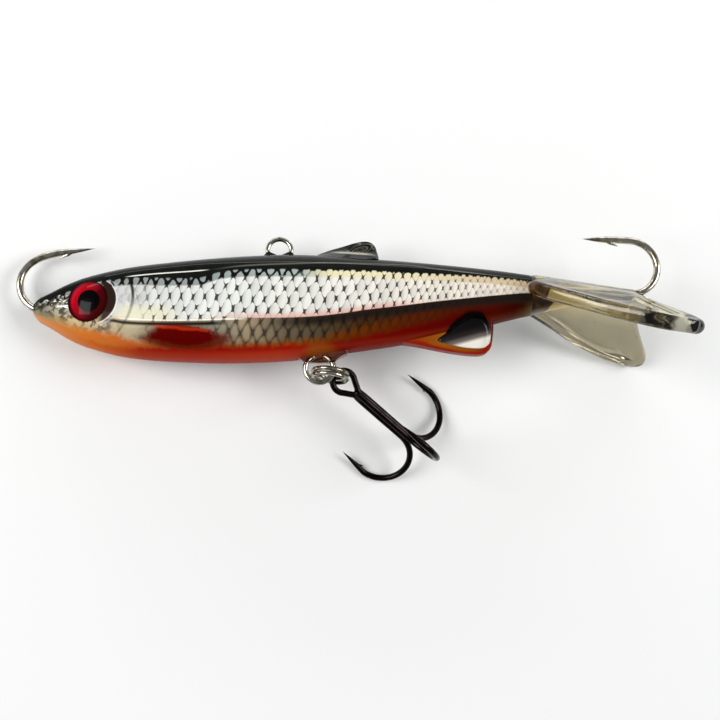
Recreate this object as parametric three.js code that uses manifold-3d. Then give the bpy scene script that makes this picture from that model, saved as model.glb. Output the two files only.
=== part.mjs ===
// A balance jig for ice fishing, lying loose on its side: a small fish moulded in clear plastic
// with a line tie on its back, a fixed hook at each end, a forked tail and a treble below.
//
// All sizes are millimetres. The fish is built upright in its own frame, x from the nose to the
// tail, y up its back and z out of its left side. Then it is laid down on its right side.
import * as THREE from "three";
import { mergeVertices } from "three/addons/utils/BufferGeometryUtils.js";
import Module from "manifold-3d";

const wasm = await Module();
wasm.setup();

const { cos, sin, sqrt, PI } = Math;
const DEG = PI / 180;

// How the jig lies: the tail is raised off the table, and so is the belly.
const TAIL_RAISED = 6.7 * DEG;
const BELLY_RAISED = 8.5 * DEG;
const NOSE_HEIGHT = 2.93;

// The moulded body, as lines read along x.
const BODY_END = 82.3;
const NOSE_RADIUS = 1.3;
const NOSE_Y = -0.2;
const BACK = [[0, 0.75], [2.2, 1.65], [4.8, 2.95], [7.5, 3.95], [12.8, 5.15], [18.2, 5.8], [29, 6.8],
  [36, 7.05], [46.7, 6.45], [61.7, 5.2], [72.5, 3.7], [78, 3.0], [BODY_END, 2.4]];
const BELLY = [[0, -1.6], [2.4, -2.88], [5.1, -4.51], [7.8, -5.6], [13.2, -6.88], [22.5, -7.48],
  [30.5, -7.42], [36.5, -7.0], [42.6, -6.1], [50.6, -4.9], [58, -3.3], [64.9, -1.5], [72, 0.0],
  [78, 0.95], [BODY_END, 1.25]];
const HALF_WIDTH = [[0, 0.9], [2, 1.85], [5, 3.0], [8, 3.8], [13, 4.65], [20, 5.4], [28, 5.7], [38, 5.35],
  [48, 4.55], [58, 3.6], [68, 2.45], [76, 1.55], [BODY_END, 0.95]];
// The side is a nearly flat panel between two creases: a soft one below the back and a
// sharper one along the flank, under which the belly turns in.
const UPPER_CREASE = [[0, 0.3], [5, 1.9], [11, 3.15], [18, 3.95], [24, 4.35], [42, 4.4], [52, 4.2], [61, 3.4],
  [70, 2.9], [BODY_END, 1.95]];
const UPPER_CREASE_SHARE = [[0, 0.8], [10, 0.86], [20, 0.88], [40, 0.87], [60, 0.8], [72, 0.7],
  [BODY_END, 0.7]];
const FLANK_CREASE = [[0, -0.3], [5, -1.2], [11, -2.25], [18, -2.65], [31, -2.65], [40, -2.1], [47, -1.1],
  [55, -0.2], [65, 1.0], [75, 1.55], [BODY_END, 1.75]];
const PANEL_CROWN = 0.2;

// The back fin and the vent fin, moulded on, each with a scoop in both faces.
const BACK_FIN = [[37.6, 6.4], [39.2, 7.5], [41.6, 8.35], [43.6, 8.98], [44.9, 9.1], [45.7, 8.75],
  [46.15, 7.9], [46.2, 6.0]];
const BACK_FIN_HALF = [1.35, 0.75];
const BACK_FIN_SCOOP = [[42.1, 7.75], [43.6, 8.45], [44.9, 8.65], [45.5, 8.1], [45.5, 7.5], [43.6, 7.4]];
const BACK_FIN_WEB = 0.45;
const VENT_FIN = [[46.5, -4.6], [50.6, -5.14], [53.3, -5.68], [56, -6.22], [59.3, -6.6], [60.6, -6.42],
  [61.35, -5.7], [61.6, -4.6], [61.75, -2.6], [61.6, -1.6], [56, -2.2], [50, -3.4]];
const VENT_FIN_HALF = [1.9, 1.1];
const VENT_SCOOP = [[54.2, -4.75], [55.8, -3.6], [57.6, -2.3], [59.2, -1.6], [60.5, -1.9], [61.15, -3.0],
  [61.15, -5.0], [60.4, -5.72], [58.6, -5.8], [56.2, -5.4]];
const VENT_WEB = 0.75;
const SCOOP_DRAFT = 1.12;
const BEVEL_SCALE = 0.93;
const BEVEL_SHARE = 0.72;

// The clear lug below the belly that the lower loop comes out of.
const LUG = [[35.2, -6.6], [36.2, -7.4], [36.8, -7.6], [40.4, -7.6], [40.75, -7.25], [41.3, -6.85],
  [42.2, -6.4], [42.2, -5.6], [35.2, -5.6]];
const LUG_HALF = [1.4, 0.6];

// The tail: two lobes that slope down from a ridge along the top of the body's end.
const RIDGE_START = [67, 4.74];
const RIDGE_SLOPE = -Math.atan2(RIDGE_START[1] - BACK.at(-1)[1], BODY_END - RIDGE_START[0]);
const LOBE_DROOP = 26 * DEG;
const LOBE_REACH = 15.3;
const LOBE_THICK = 2.0;
const LOBE_TIP_THICK = 2.0;
const LOBE_FRONT = [[0, 67], [1.6, 66], [3.4, 64.2], [4.6, 65.2], [6.2, 67.6], [8.6, 71.5],
  [11.2, 75.2], [13.2, 79], [14.6, 82.8], [LOBE_REACH, 84.4]];
const LOBE_BACK = [[0, 82.1], [1.6, 82.2], [3.4, 82.8], [6.5, 84.0], [9.6, 85.3], [12.6, 86.7], [14.2, 86.6],
  [LOBE_REACH, 85.4]];

// The wires.
const WIRE_FIT = 0.06;
const POINT_TAPER = 1.6;
const POINT_TIP = 0.05;
const HOOK_WIRE = 0.96;
const NOSE_HOOK = {
  shank: [5.6, -0.55], turn: [1.8, 3.18], radius: 3.73, sweep: 145, ease: 1.5, straight: [2.9, 7.47],
  point: [7.95, 8.17], barb: [[4.9, 7.6], [4.3, 7.28], [3.15, 6.72]],
};
const TAIL_HOOK = {
  shank: [72, 3.2], turn: [80.9, 5.72], radius: 3.78, sweep: 183, ease: 1.2, straight: [78.4, 9.62],
  point: [74.5, 9.76], barb: [[77.7, 9.5], [78.3, 9.2], [79.45, 8.7]],
};
const TIE_WIRE = 0.66;
const TIE_LOOP = { centre: [32.95, 7.95], radius: 1.6, legs: [4.6, 0.37] };
const BELLY_WIRE = 0.76;
const BELLY_LOOP = { centre: [38.45, -8.35], radius: 1.88, legs: [3.8, 0.43] };

// The eyes: domed discs in round seats on the head.
const EYE = {
  at: [8.1, 0.0], diameter: 5.3, seat: 2.3, sunk: 0.5, dome: 0.7, turned: 10 * DEG, rolled: 2 * DEG,
};
const EYE_FIT = 0.05;

// The split ring and the treble, hanging as a chain from the belly loop. Their places are
// measured on the table from below the nose.
const RING = {
  centre: [39.56, -9.17, 7.545], heading: -9.1 * DEG, leaned: 14.8 * DEG, diameter: 4.6, wire: 0.62,
  pitch: 0.7,
};
const TREBLE = {
  eye: [41.59, -10.03, 6.29], aim: -40.2 * DEG, dip: 7.9 * DEG, wire: 0.8, eyeRadius: 1.42, shank: 11.3,
  bend: 4.1, gape: 8.3, point: 3.93,
};

// Colours, as the eye sees them from a step away.
const FINISH = {
  body: { color: 0xb9b3a2, roughness: 0.08, metalness: 0 },
  eye: { color: 0xc4152b, roughness: 0.1, metalness: 0 },
  bronzeNickel: { color: 0x9c8f7c, roughness: 0.25, metalness: 1 },
  nickel: { color: 0xd8d6cc, roughness: 0.18, metalness: 1 },
  blackNickel: { color: 0x2e2a2b, roughness: 0.25, metalness: 1 },
};

// A smooth line through [position, value] pairs, read at any position.
function line(pairs) {
  const slopes = pairs.map((pair, i) => {
    const before = pairs[Math.max(i - 1, 0)];
    const after = pairs[Math.min(i + 1, pairs.length - 1)];
    return (after[1] - before[1]) / (after[0] - before[0]);
  });
  return (x) => {
    let i = 0;
    while (i < pairs.length - 2 && x > pairs[i + 1][0]) i += 1;
    const span = pairs[i + 1][0] - pairs[i][0];
    const t = (x - pairs[i][0]) / span;
    const bend = (1 + 2 * t) * (1 - t) ** 2 * pairs[i][1] + t * t * (3 - 2 * t) * pairs[i + 1][1];
    return bend + span * t * (1 - t) * ((1 - t) * slopes[i] - t * slopes[i + 1]);
  };
}

// A closed surface through a row of equal rings of points, with a flat fan at each end.
function loft(rings) {
  const count = rings[0].length;
  const points = rings.flat();
  const middle = (ring) => ring.reduce((sum, p) => sum.add(p), new THREE.Vector3()).divideScalar(count);
  const firstCap = points.push(middle(rings[0])) - 1;
  const lastCap = points.push(middle(rings.at(-1))) - 1;
  const faces = [];
  for (let r = 0; r < rings.length - 1; r += 1) {
    for (let k = 0; k < count; k += 1) {
      const a = r * count + k;
      const b = r * count + ((k + 1) % count);
      faces.push(a, b, a + count, b, b + count, a + count);
    }
  }
  const last = (rings.length - 1) * count;
  for (let k = 0; k < count; k += 1) {
    const next = (k + 1) % count;
    faces.push(firstCap, next, k, lastCap, last + k, last + next);
  }
  const geometry = new THREE.BufferGeometry().setFromPoints(points);
  geometry.setIndex(faces);
  return geometry;
}

// A closed geometry as a solid that can be joined and cut, turned the right way out.
function solid(geometry) {
  const bare = geometry.clone();
  bare.deleteAttribute("normal");
  bare.deleteAttribute("uv");
  const merged = mergeVertices(bare, 1e-4);
  const vertProperties = new Float32Array(merged.attributes.position.array);
  const triVerts = new Uint32Array(merged.index.array);
  const made = new wasm.Manifold(new wasm.Mesh({ numProp: 3, vertProperties, triVerts }));
  if (made.volume() > 0) return made;
  for (let i = 0; i < triVerts.length; i += 3) {
    [triVerts[i + 1], triVerts[i + 2]] = [triVerts[i + 2], triVerts[i + 1]];
  }
  return new wasm.Manifold(new wasm.Mesh({ numProp: 3, vertProperties, triVerts }));
}

// A solid as a named mesh with its finish.
function piece(name, shape, finish) {
  const mesh = shape.getMesh();
  const geometry = new THREE.BufferGeometry();
  geometry.setAttribute("position", new THREE.BufferAttribute(new Float32Array(mesh.vertProperties), 3));
  geometry.setIndex(new THREE.BufferAttribute(new Uint32Array(mesh.triVerts), 1));
  const flat = geometry.toNonIndexed();
  flat.computeVertexNormals();
  const made = new THREE.Mesh(flat, new THREE.MeshStandardMaterial(finish));
  made.name = name;
  return made;
}

// A round wire along a path of points, whose radius may change along it.
function wire(path, radius, sides = 8) {
  const radii = typeof radius === "number" ? path.map(() => radius) : radius;
  const tangent = (i) => {
    const ahead = path[Math.min(i + 1, path.length - 1)];
    return ahead.clone().sub(path[Math.max(i - 1, 0)]).normalize();
  };
  let across = new THREE.Vector3(0.13, 0.21, 1).projectOnPlane(tangent(0)).normalize();
  const rings = path.map((centre, i) => {
    const along = tangent(i);
    across = across.projectOnPlane(along).normalize();
    const up = along.clone().cross(across);
    return Array.from({ length: sides }, (_, k) => {
      const angle = (2 * PI * (k + 0.5)) / sides;
      const out = across.clone().multiplyScalar(cos(angle)).addScaledVector(up, sin(angle));
      return centre.clone().addScaledVector(out, radii[i]);
    });
  });
  return solid(loft(rings));
}

const flatPoint = ([x, y]) => new THREE.Vector3(x, y, 0);
const along = (a, b, steps) => Array.from({ length: steps }, (_, i) => a.clone().lerp(b, i / steps));

function arc([x, y], radius, from, to, steps) {
  return Array.from({ length: steps + 1 }, (_, i) => {
    const angle = from + ((to - from) * i) / steps;
    return new THREE.Vector3(x + radius * cos(angle), y + radius * sin(angle), 0);
  });
}

// One ring of the body at x: back, side panel and belly on the left, mirrored on the right.
const back = line(BACK);
const belly = line(BELLY);
const halfWidth = line(HALF_WIDTH);
const upperCrease = line(UPPER_CREASE);
const upperCreaseShare = line(UPPER_CREASE_SHARE);
const flankCrease = line(FLANK_CREASE);

function bodyRing(x) {
  const tip = x < NOSE_RADIUS ? sqrt(1 - (1 - x / NOSE_RADIUS) ** 2) : 1;
  const rounded = (y) => NOSE_Y + (y - NOSE_Y) * tip;
  const top = rounded(back(x));
  const bottom = rounded(belly(x));
  const wide = halfWidth(x) * tip;
  const creaseY = rounded(upperCrease(x));
  const creaseZ = wide * upperCreaseShare(x);
  const flankY = rounded(flankCrease(x));
  const side = [];
  const backSteps = 4;
  for (let k = 0; k < backSteps; k += 1) {
    const t = ((PI / 2) * k) / backSteps;
    side.push([creaseY + (top - creaseY) * cos(t), creaseZ * sin(t) ** 1.1]);
  }
  const panelSteps = 3;
  for (let k = 0; k < panelSteps; k += 1) {
    const t = k / panelSteps;
    const crown = 4 * t * (1 - t) * PANEL_CROWN * (wide / 5);
    side.push([creaseY + (flankY - creaseY) * t, creaseZ + (wide - creaseZ) * t + crown]);
  }
  const bellySteps = 5;
  for (let k = 0; k <= bellySteps; k += 1) {
    const t = ((PI / 2) * k) / bellySteps;
    side.push([flankY + (bottom - flankY) * sin(t) ** 1.05, wide * cos(t) ** 0.8]);
  }
  side.at(-1)[1] = 0;
  const left = side.map(([y, z]) => new THREE.Vector3(x, y, z));
  const right = side.slice(1, -1).reverse().map(([y, z]) => new THREE.Vector3(x, y, -z));
  return [...left, ...right];
}

function bodyShell() {
  const stations = [0.03, 0.15, 0.4, 0.8, NOSE_RADIUS, 2.1, 3.2];
  for (let x = 4.6; x < BODY_END - 1; x += 2.8) stations.push(x);
  stations.push(BODY_END);
  return solid(loft(stations.map(bodyRing)));
}

// A drawn outline made larger or smaller about its middle.
function scaled(outline, scale) {
  const middleX = outline.reduce((sum, p) => sum + p[0], 0) / outline.length;
  const middleY = outline.reduce((sum, p) => sum + p[1], 0) / outline.length;
  return outline.map(([x, y]) => [middleX + (x - middleX) * scale, middleY + (y - middleY) * scale]);
}

// A plate with a drawn outline and bevelled edges, thinner at its free edge than at its foot.
function finPlate(outline, [footHalf, edgeHalf], edgeY, footY) {
  const ring = (zShare, scale) => scaled(outline, scale).map(([x, y]) => {
    const share = Math.min(Math.max((y - edgeY) / (footY - edgeY), 0), 1);
    return new THREE.Vector3(x, y, zShare * (edgeHalf + (footHalf - edgeHalf) * share));
  });
  const rings = [ring(-1, BEVEL_SCALE), ring(-BEVEL_SHARE, 1), ring(BEVEL_SHARE, 1), ring(1, BEVEL_SCALE)];
  return solid(loft(rings));
}

// The cutter of one scoop: the drawn outline just above the web, and wider further out.
function scoop(outline, web, sideSign) {
  const ring = (z, scale) => scaled(outline, scale).map(([x, y]) => new THREE.Vector3(x, y, sideSign * z));
  return solid(loft([ring(web, 0.9), ring(web + 0.5, 1), ring(web + 4, SCOOP_DRAFT)]));
}

// One tail lobe: sections across the fork, from the ridge out to the rounded tip.
function tailLobe(sideSign) {
  const front = line(LOBE_FRONT);
  const rear = line(LOBE_BACK);
  const ridge = new THREE.Vector3(cos(RIDGE_SLOPE), sin(RIDGE_SLOPE), 0);
  const out = new THREE.Vector3(sin(LOBE_DROOP) * sin(RIDGE_SLOPE), -sin(LOBE_DROOP) * cos(RIDGE_SLOPE),
    sideSign * cos(LOBE_DROOP));
  const upward = new THREE.Vector3(-sin(RIDGE_SLOPE) * cos(LOBE_DROOP), cos(RIDGE_SLOPE) * cos(LOBE_DROOP),
    sideSign * sin(LOBE_DROOP));
  const root = new THREE.Vector3(RIDGE_START[0], RIDGE_START[1], 0);
  const rings = [0, 1.6, 3.2, 5, 7, 9, 11, 12.8, 14, 14.8, LOBE_REACH].map((s) => {
    const tipShare = Math.max(0, (s - 13.6) / (LOBE_REACH - 13.6));
    const squeeze = sqrt(1 - 0.86 * tipShare ** 2);
    const middle = (front(s) + rear(s)) / 2 + 0.4 * tipShare;
    const half = ((rear(s) - front(s)) / 2) * squeeze;
    const thick = (LOBE_THICK + (LOBE_TIP_THICK - LOBE_THICK) * (s / LOBE_REACH)) * (1 - 0.3 * tipShare ** 2);
    const profile = [[-1, -0.5], [-0.97, -0.12], [-0.86, 0], [-0.3, 0], [0.3, 0], [0.88, 0], [0.98, -0.15],
      [1, -0.5], [0.98, -0.85], [0.88, -1], [0.3, -1], [-0.3, -1], [-0.86, -1], [-0.97, -0.88]];
    return profile.map(([u, v]) => root.clone()
      .addScaledVector(ridge, middle + half * u - RIDGE_START[0])
      .addScaledVector(out, s)
      .addScaledVector(upward, v * thick));
  });
  return solid(loft(rings));
}

// The shank and the round bend of a fixed hook. turnSign is the way that the bend runs, 1 for
// anticlockwise.
function hookBend(spec, shankAngle, turnSign) {
  const start = shankAngle - (turnSign * PI) / 2;
  const bend = arc(spec.turn, spec.radius, start, start + turnSign * spec.sweep * DEG, 14);
  return [...along(flatPoint(spec.shank), bend[0], 3), ...bend];
}

// A fixed hook: shank, bend, an easy run into the straight part, and the barbed point.
function fixedHook(spec, shankAngle, turnSign) {
  const path = hookBend(spec, shankAngle, turnSign);
  const bendEnd = path.at(-1);
  const leaving = shankAngle + turnSign * spec.sweep * DEG;
  const control = new THREE.Vector3(cos(leaving), sin(leaving), 0).multiplyScalar(spec.ease).add(bendEnd);
  const from = flatPoint(spec.straight);
  const point = flatPoint(spec.point);
  const eased = new THREE.QuadraticBezierCurve3(bendEnd, control, from).getPoints(4).slice(1);
  const steps = 6;
  path.push(...eased, ...along(from, point, steps).slice(1), point);
  const radii = path.map((_, i) => {
    const done = Math.max(0, i + 1 + steps - path.length) / steps;
    return (HOOK_WIRE / 2) * Math.max(1 - done ** POINT_TAPER, POINT_TIP);
  });
  const barb = wire(spec.barb.map(flatPoint), [0.14, 0.24, 0.03], 6);
  return wire(path, radii).add(barb);
}

// The room that a fixed hook takes in the body, with a thin fit all round.
function fixedHookSeat(spec, shankAngle, turnSign) {
  const path = hookBend(spec, shankAngle, turnSign);
  const inward = path[0].clone().sub(path[1]).setLength(WIRE_FIT);
  path[0].add(inward);
  return wire(path, HOOK_WIRE / 2 + WIRE_FIT);
}

// The path of a wire loop whose two legs run side by side into the body. legsUp is 1 where
// they rise, and -1 where they go down.
function legLoopPath({ centre: [x, y], radius, legs: [length, apart] }, legsUp) {
  const open = Math.asin(apart / radius) * 1.9;
  const leg = (sideSign) => {
    const foot = new THREE.Vector3(x + sideSign * apart, y + legsUp * length, 0);
    const neck = new THREE.Vector3(x + sideSign * apart, y + legsUp * (radius + 0.55), 0);
    return [foot, neck];
  };
  const from = legsUp * (PI / 2) - open;
  const loop = arc([x, y], radius, from, from - 2 * PI + 2 * open, 18);
  return [...leg(legsUp), ...loop, ...leg(-legsUp).reverse()];
}

const legLoop = (spec, thick, legsUp) => wire(legLoopPath(spec, legsUp), thick / 2);

// The room that a leg loop takes in the body, with a thin fit all round. It is joined from two
// halves, because the fit closes the gap between the legs.
function legLoopSeat(spec, thick, legsUp) {
  const path = legLoopPath(spec, legsUp);
  path[0].y += legsUp * WIRE_FIT;
  path.at(-1).y += legsUp * WIRE_FIT;
  const middle = Math.floor(path.length / 2);
  const half = (points) => wire(points, thick / 2 + WIRE_FIT);
  return half(path.slice(0, middle + 2)).add(half(path.slice(middle - 1)));
}

// The eye: a short plug with a dome on it, drawn from its back to its front.
function eyeGeometry(radius, seatDepth, dome) {
  const profile = [new THREE.Vector2(0, -seatDepth), new THREE.Vector2(radius, -seatDepth),
    new THREE.Vector2(radius, 0)];
  const sphere = (radius * radius + dome * dome) / (2 * dome);
  for (let k = 1; k <= 4; k += 1) {
    const r = radius * (1 - k / 4);
    profile.push(new THREE.Vector2(r, sqrt(sphere * sphere - r * r) - (sphere - dome)));
  }
  return new THREE.LatheGeometry(profile, 20);
}

function placeEye(geometry, sideSign) {
  const seatZ = halfWidth(EYE.at[0]) - EYE.sunk;
  geometry.rotateX(PI / 2);
  geometry.rotateX(-EYE.rolled);
  geometry.rotateY(-EYE.turned);
  geometry.translate(EYE.at[0], EYE.at[1], seatZ);
  if (sideSign < 0) geometry.scale(1, 1, -1);
  return solid(geometry);
}

const eye = (sideSign) => placeEye(eyeGeometry(EYE.diameter / 2, EYE.seat, EYE.dome), sideSign);
const eyeSeat = (sideSign) => placeEye(
  eyeGeometry(EYE.diameter / 2 + EYE_FIT, EYE.seat + EYE_FIT, EYE.dome + 2), sideSign);

// The whole clear moulding, with every seat cut into it.
function clearBody() {
  let made = bodyShell()
    .add(finPlate(BACK_FIN, BACK_FIN_HALF, 9.1, 6.6))
    .add(finPlate(VENT_FIN, VENT_FIN_HALF, -6.6, -2.2))
    .add(finPlate(LUG, LUG_HALF, -7.6, -6.4))
    .add(tailLobe(1))
    .add(tailLobe(-1));
  for (const sideSign of [-1, 1]) {
    made = made.subtract(scoop(BACK_FIN_SCOOP, BACK_FIN_WEB, sideSign));
    made = made.subtract(scoop(VENT_SCOOP, VENT_WEB, sideSign));
    made = made.subtract(eyeSeat(sideSign));
  }
  return made
    .subtract(fixedHookSeat(NOSE_HOOK, PI, -1))
    .subtract(fixedHookSeat(TAIL_HOOK, RIDGE_SLOPE, 1))
    .subtract(legLoopSeat(TIE_LOOP, TIE_WIRE, -1))
    .subtract(legLoopSeat(BELLY_LOOP, BELLY_WIRE, 1));
}

// The split ring: two turns of wire side by side, crossing over where its ends meet.
function splitRing() {
  const crossing = 26 * DEG;
  const turns = 50;
  const first = crossing * 1.15;
  const last = 4 * PI - first;
  const path = Array.from({ length: turns + 1 }, (_, i) => {
    const angle = first + ((last - first) * i) / turns;
    const share = Math.min(Math.max((angle - (2 * PI - crossing)) / (2 * crossing), 0), 1);
    const shift = RING.pitch * (share * share * (3 - 2 * share) - 0.5);
    return new THREE.Vector3((RING.diameter / 2) * sin(angle), (-RING.diameter / 2) * cos(angle), shift);
  });
  return wire(path, RING.wire / 2);
}

// Where the split ring stands: on edge through the belly loop and the treble's eye, with its
// upper half leaning towards the fish's back.
function ringMatrix() {
  const across = new THREE.Vector3(cos(RING.heading), sin(RING.heading), 0);
  const up = new THREE.Vector3(0, 0, 1).applyAxisAngle(across, -RING.leaned);
  const facing = across.clone().cross(up);
  return new THREE.Matrix4().makeBasis(across, up, facing).setPosition(...RING.centre);
}

// The treble: three prongs brazed round one shank, and the eye that their wire ends in. It is
// drawn with its eye at the origin, its shank along x and its first prong up z.
function trebleHook() {
  const r = TREBLE.wire / 2;
  const shankOff = r * 1.08;
  const neck = new THREE.Vector3(TREBLE.eyeRadius - 0.1, shankOff / 2, 0);
  const shoulder = new THREE.Vector3(TREBLE.eyeRadius + 1.2, shankOff, 0);
  const bendCentre = [TREBLE.shank, shankOff + TREBLE.bend];
  const path = [neck, shoulder, ...arc(bendCentre, TREBLE.bend, -PI / 2, PI / 2 - 0.12, 14)];
  const bendEnd = path.at(-1);
  const straight = path.length;
  const point = new THREE.Vector3(TREBLE.shank - TREBLE.point, TREBLE.gape, 0);
  path.push(...along(bendEnd, point, 6).slice(1), point);
  const radii = path.map((_, i) => {
    const done = Math.max(0, i + 1 - straight) / (path.length - straight);
    return r * Math.max(1 - done ** POINT_TAPER, POINT_TIP);
  });
  const barbTip = bendEnd.clone().lerp(point, 0.16);
  barbTip.y -= r + 0.28;
  const barbPath = [bendEnd.clone().lerp(point, 0.6), bendEnd.clone().lerp(point, 0.42), barbTip];
  const prong = wire(path, radii).add(wire(barbPath, [0.12, 0.2, 0.03], 6));
  const upright = prong.rotate([90, 0, 0]);
  const ring = solid(new THREE.TorusGeometry(TREBLE.eyeRadius, r * 0.98, 8, 20));
  return [0, 120, 240].reduce((sum, turn) => sum.add(upright.rotate([turn, 0, 0])), ring);
}

// Everything below the table top is ground off, which leaves the flat spot that the jig lies on.
function trimmed(shape, matrix) {
  const below = new THREE.BoxGeometry(300, 300, 20).translate(0, 0, -10);
  below.applyMatrix4(matrix.clone().invert());
  return shape.subtract(solid(below));
}

const table = new THREE.Group();
const lying = new THREE.Group();
lying.position.set(0, 0, NOSE_HEIGHT);
lying.rotation.y = -TAIL_RAISED;
const fish = new THREE.Group();
fish.rotation.x = -BELLY_RAISED;
lying.add(fish);
const ringPlace = new THREE.Group();
ringPlace.applyMatrix4(ringMatrix());
const treblePlace = new THREE.Group();
treblePlace.position.set(...TREBLE.eye);
treblePlace.rotation.z = TREBLE.aim;
const trebleDip = new THREE.Group();
trebleDip.rotation.y = TREBLE.dip;
treblePlace.add(trebleDip);
table.add(lying, ringPlace, treblePlace);
table.updateMatrixWorld(true);

fish.add(
  piece("clear_body", trimmed(clearBody(), fish.matrixWorld), FINISH.body),
  piece("left_eye", eye(1), FINISH.eye),
  piece("right_eye", trimmed(eye(-1), fish.matrixWorld), FINISH.eye),
  piece("nose_hook", fixedHook(NOSE_HOOK, PI, -1), FINISH.bronzeNickel),
  piece("tail_hook", fixedHook(TAIL_HOOK, RIDGE_SLOPE, 1), FINISH.bronzeNickel),
  piece("line_tie", legLoop(TIE_LOOP, TIE_WIRE, -1), FINISH.nickel),
  piece("belly_loop", legLoop(BELLY_LOOP, BELLY_WIRE, 1), FINISH.nickel),
);
ringPlace.add(piece("split_ring", splitRing(), FINISH.nickel));
trebleDip.add(piece("treble_hook", trimmed(trebleHook(), trebleDip.matrixWorld), FINISH.blackNickel));

// The origin is on the table top, below the middle of the whole jig.
const box = new THREE.Box3().setFromObject(table, true);
const group = new THREE.Group();
table.position.set(-(box.min.x + box.max.x) / 2, -(box.min.y + box.max.y) / 2, -box.min.z);
group.add(table);

export default group;
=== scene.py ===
"""A balance jig for ice fishing, lying loose on its side: a small fish whose printed foil is
sealed in clear plastic, with a line tie, a fixed hook at each end and a treble below.

Every piece is drawn in the fish's own millimetres, x from the nose to the tail, y up its back
and z out of its left side. It is then laid down on the table in metres.
"""
import math
import bmesh
import bpy
import numpy as np
from mathutils import Euler, Matrix, Vector


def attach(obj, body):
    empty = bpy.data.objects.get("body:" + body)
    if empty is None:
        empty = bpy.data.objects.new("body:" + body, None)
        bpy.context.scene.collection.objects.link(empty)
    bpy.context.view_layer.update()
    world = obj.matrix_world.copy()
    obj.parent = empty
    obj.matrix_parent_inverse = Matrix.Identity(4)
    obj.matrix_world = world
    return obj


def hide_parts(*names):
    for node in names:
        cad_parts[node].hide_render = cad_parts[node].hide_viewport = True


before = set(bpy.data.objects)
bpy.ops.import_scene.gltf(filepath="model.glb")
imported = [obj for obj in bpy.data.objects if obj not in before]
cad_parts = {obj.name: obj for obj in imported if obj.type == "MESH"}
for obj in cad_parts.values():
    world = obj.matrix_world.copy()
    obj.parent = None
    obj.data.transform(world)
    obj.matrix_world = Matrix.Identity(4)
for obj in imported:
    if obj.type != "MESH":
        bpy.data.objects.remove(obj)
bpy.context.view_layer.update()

DEG = math.pi / 180
MM = 0.001

# Edges stay sharp past these angles, in degrees.
SHARP = 40
BODY_SHARP = 34

# How the jig lies: the fish's nose on the table, its tail raised and its belly raised.
ON_TABLE = (-41.966, 7.061, 0.0)
NOSE_AT = (-41.966, 7.061, 2.93)
TAIL_RAISED = 6.7 * DEG
BELLY_RAISED = 8.5 * DEG
LYING = Euler((-BELLY_RAISED, -TAIL_RAISED, 0.0), "XYZ")
FISH = Matrix.Translation(Vector(NOSE_AT) * MM) @ LYING.to_matrix().to_4x4() @ Matrix.Scale(MM, 4)
IN_FISH = FISH.inverted()
TABLE = Matrix.Translation(Vector(ON_TABLE) * MM) @ Matrix.Scale(MM, 4)

# The moulded body, as lines read along x, in millimetres.
FISH_LENGTH = 90.0
BODY_END = 82.3
PRINT_END = 66.9
CORE_END = 66.8
NOSE_RADIUS = 1.3
NOSE_Y = -0.2
BACK = [(0, 0.75), (2.2, 1.65), (4.8, 2.95), (7.5, 3.95), (12.8, 5.15), (18.2, 5.8), (29, 6.8), (36, 7.05),
        (46.7, 6.45), (61.7, 5.2), (72.5, 3.7), (78, 3.0), (BODY_END, 2.4)]
BELLY = [(0, -1.6), (2.4, -2.88), (5.1, -4.51), (7.8, -5.6), (13.2, -6.88), (22.5, -7.48), (30.5, -7.42),
         (36.5, -7.0), (42.6, -6.1), (50.6, -4.9), (58, -3.3), (64.9, -1.5), (72, 0.0), (78, 0.95),
         (BODY_END, 1.25)]
HALF_WIDTH = [(0, 0.9), (2, 1.85), (5, 3.0), (8, 3.8), (13, 4.65), (20, 5.4), (28, 5.7), (38, 5.35),
              (48, 4.55), (58, 3.6), (68, 2.45), (76, 1.55), (BODY_END, 0.95)]
UPPER_CREASE = [(0, 0.3), (5, 1.9), (11, 3.15), (18, 3.95), (24, 4.35), (42, 4.4), (52, 4.2), (61, 3.4),
                (70, 2.9), (BODY_END, 1.95)]
UPPER_CREASE_SHARE = [(0, 0.8), (10, 0.86), (20, 0.88), (40, 0.87), (60, 0.8), (72, 0.7), (BODY_END, 0.7)]
FLANK_CREASE = [(0, -0.3), (5, -1.2), (11, -2.25), (18, -2.65), (31, -2.65), (40, -2.1), (47, -1.1),
                (55, -0.2), (65, 1.0), (75, 1.55), (BODY_END, 1.75)]
PANEL_CROWN = 0.04
SECTION_STEP = 0.6

# The plates on the body: outlines, half thicknesses at foot and free edge, and the webs left
# between their scoops.
BACK_FIN = [(37.6, 6.4), (39.2, 7.5), (41.6, 8.35), (43.6, 8.98), (44.9, 9.1), (45.7, 8.75), (46.15, 7.9),
            (46.2, 6.0)]
BACK_FIN_HALF = (2.6, 0.7)
BACK_FIN_SCOOP = [(42.1, 7.75), (43.6, 8.45), (44.9, 8.65), (45.5, 8.1), (45.5, 7.5), (43.6, 7.4)]
BACK_FIN_WEB = 0.45
TIE_FEET = [(30.2, 6.3), (30.7, 6.95), (31.35, 7.75), (31.8, 7.5), (32.35, 7.05), (33.55, 7.05), (34.1, 7.5),
            (34.55, 7.75), (35.2, 6.95), (35.7, 6.3), (32.95, 6.1)]
TIE_FEET_HALF = (1.0, 0.45)
VENT_FIN = [(46.5, -4.6), (50.6, -5.14), (53.3, -5.68), (56, -6.22), (59.3, -6.6), (60.6, -6.42),
            (61.35, -5.7), (61.6, -4.6), (61.75, -2.6), (61.6, -1.6), (56, -2.2), (50, -3.4)]
VENT_FIN_HALF = (1.9, 1.1)
VENT_SCOOP = [(54.2, -4.75), (55.8, -3.6), (57.6, -2.3), (59.2, -1.6), (60.5, -1.9), (61.15, -3.0),
              (61.15, -5.0), (60.4, -5.72), (58.6, -5.8), (56.2, -5.4)]
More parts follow.
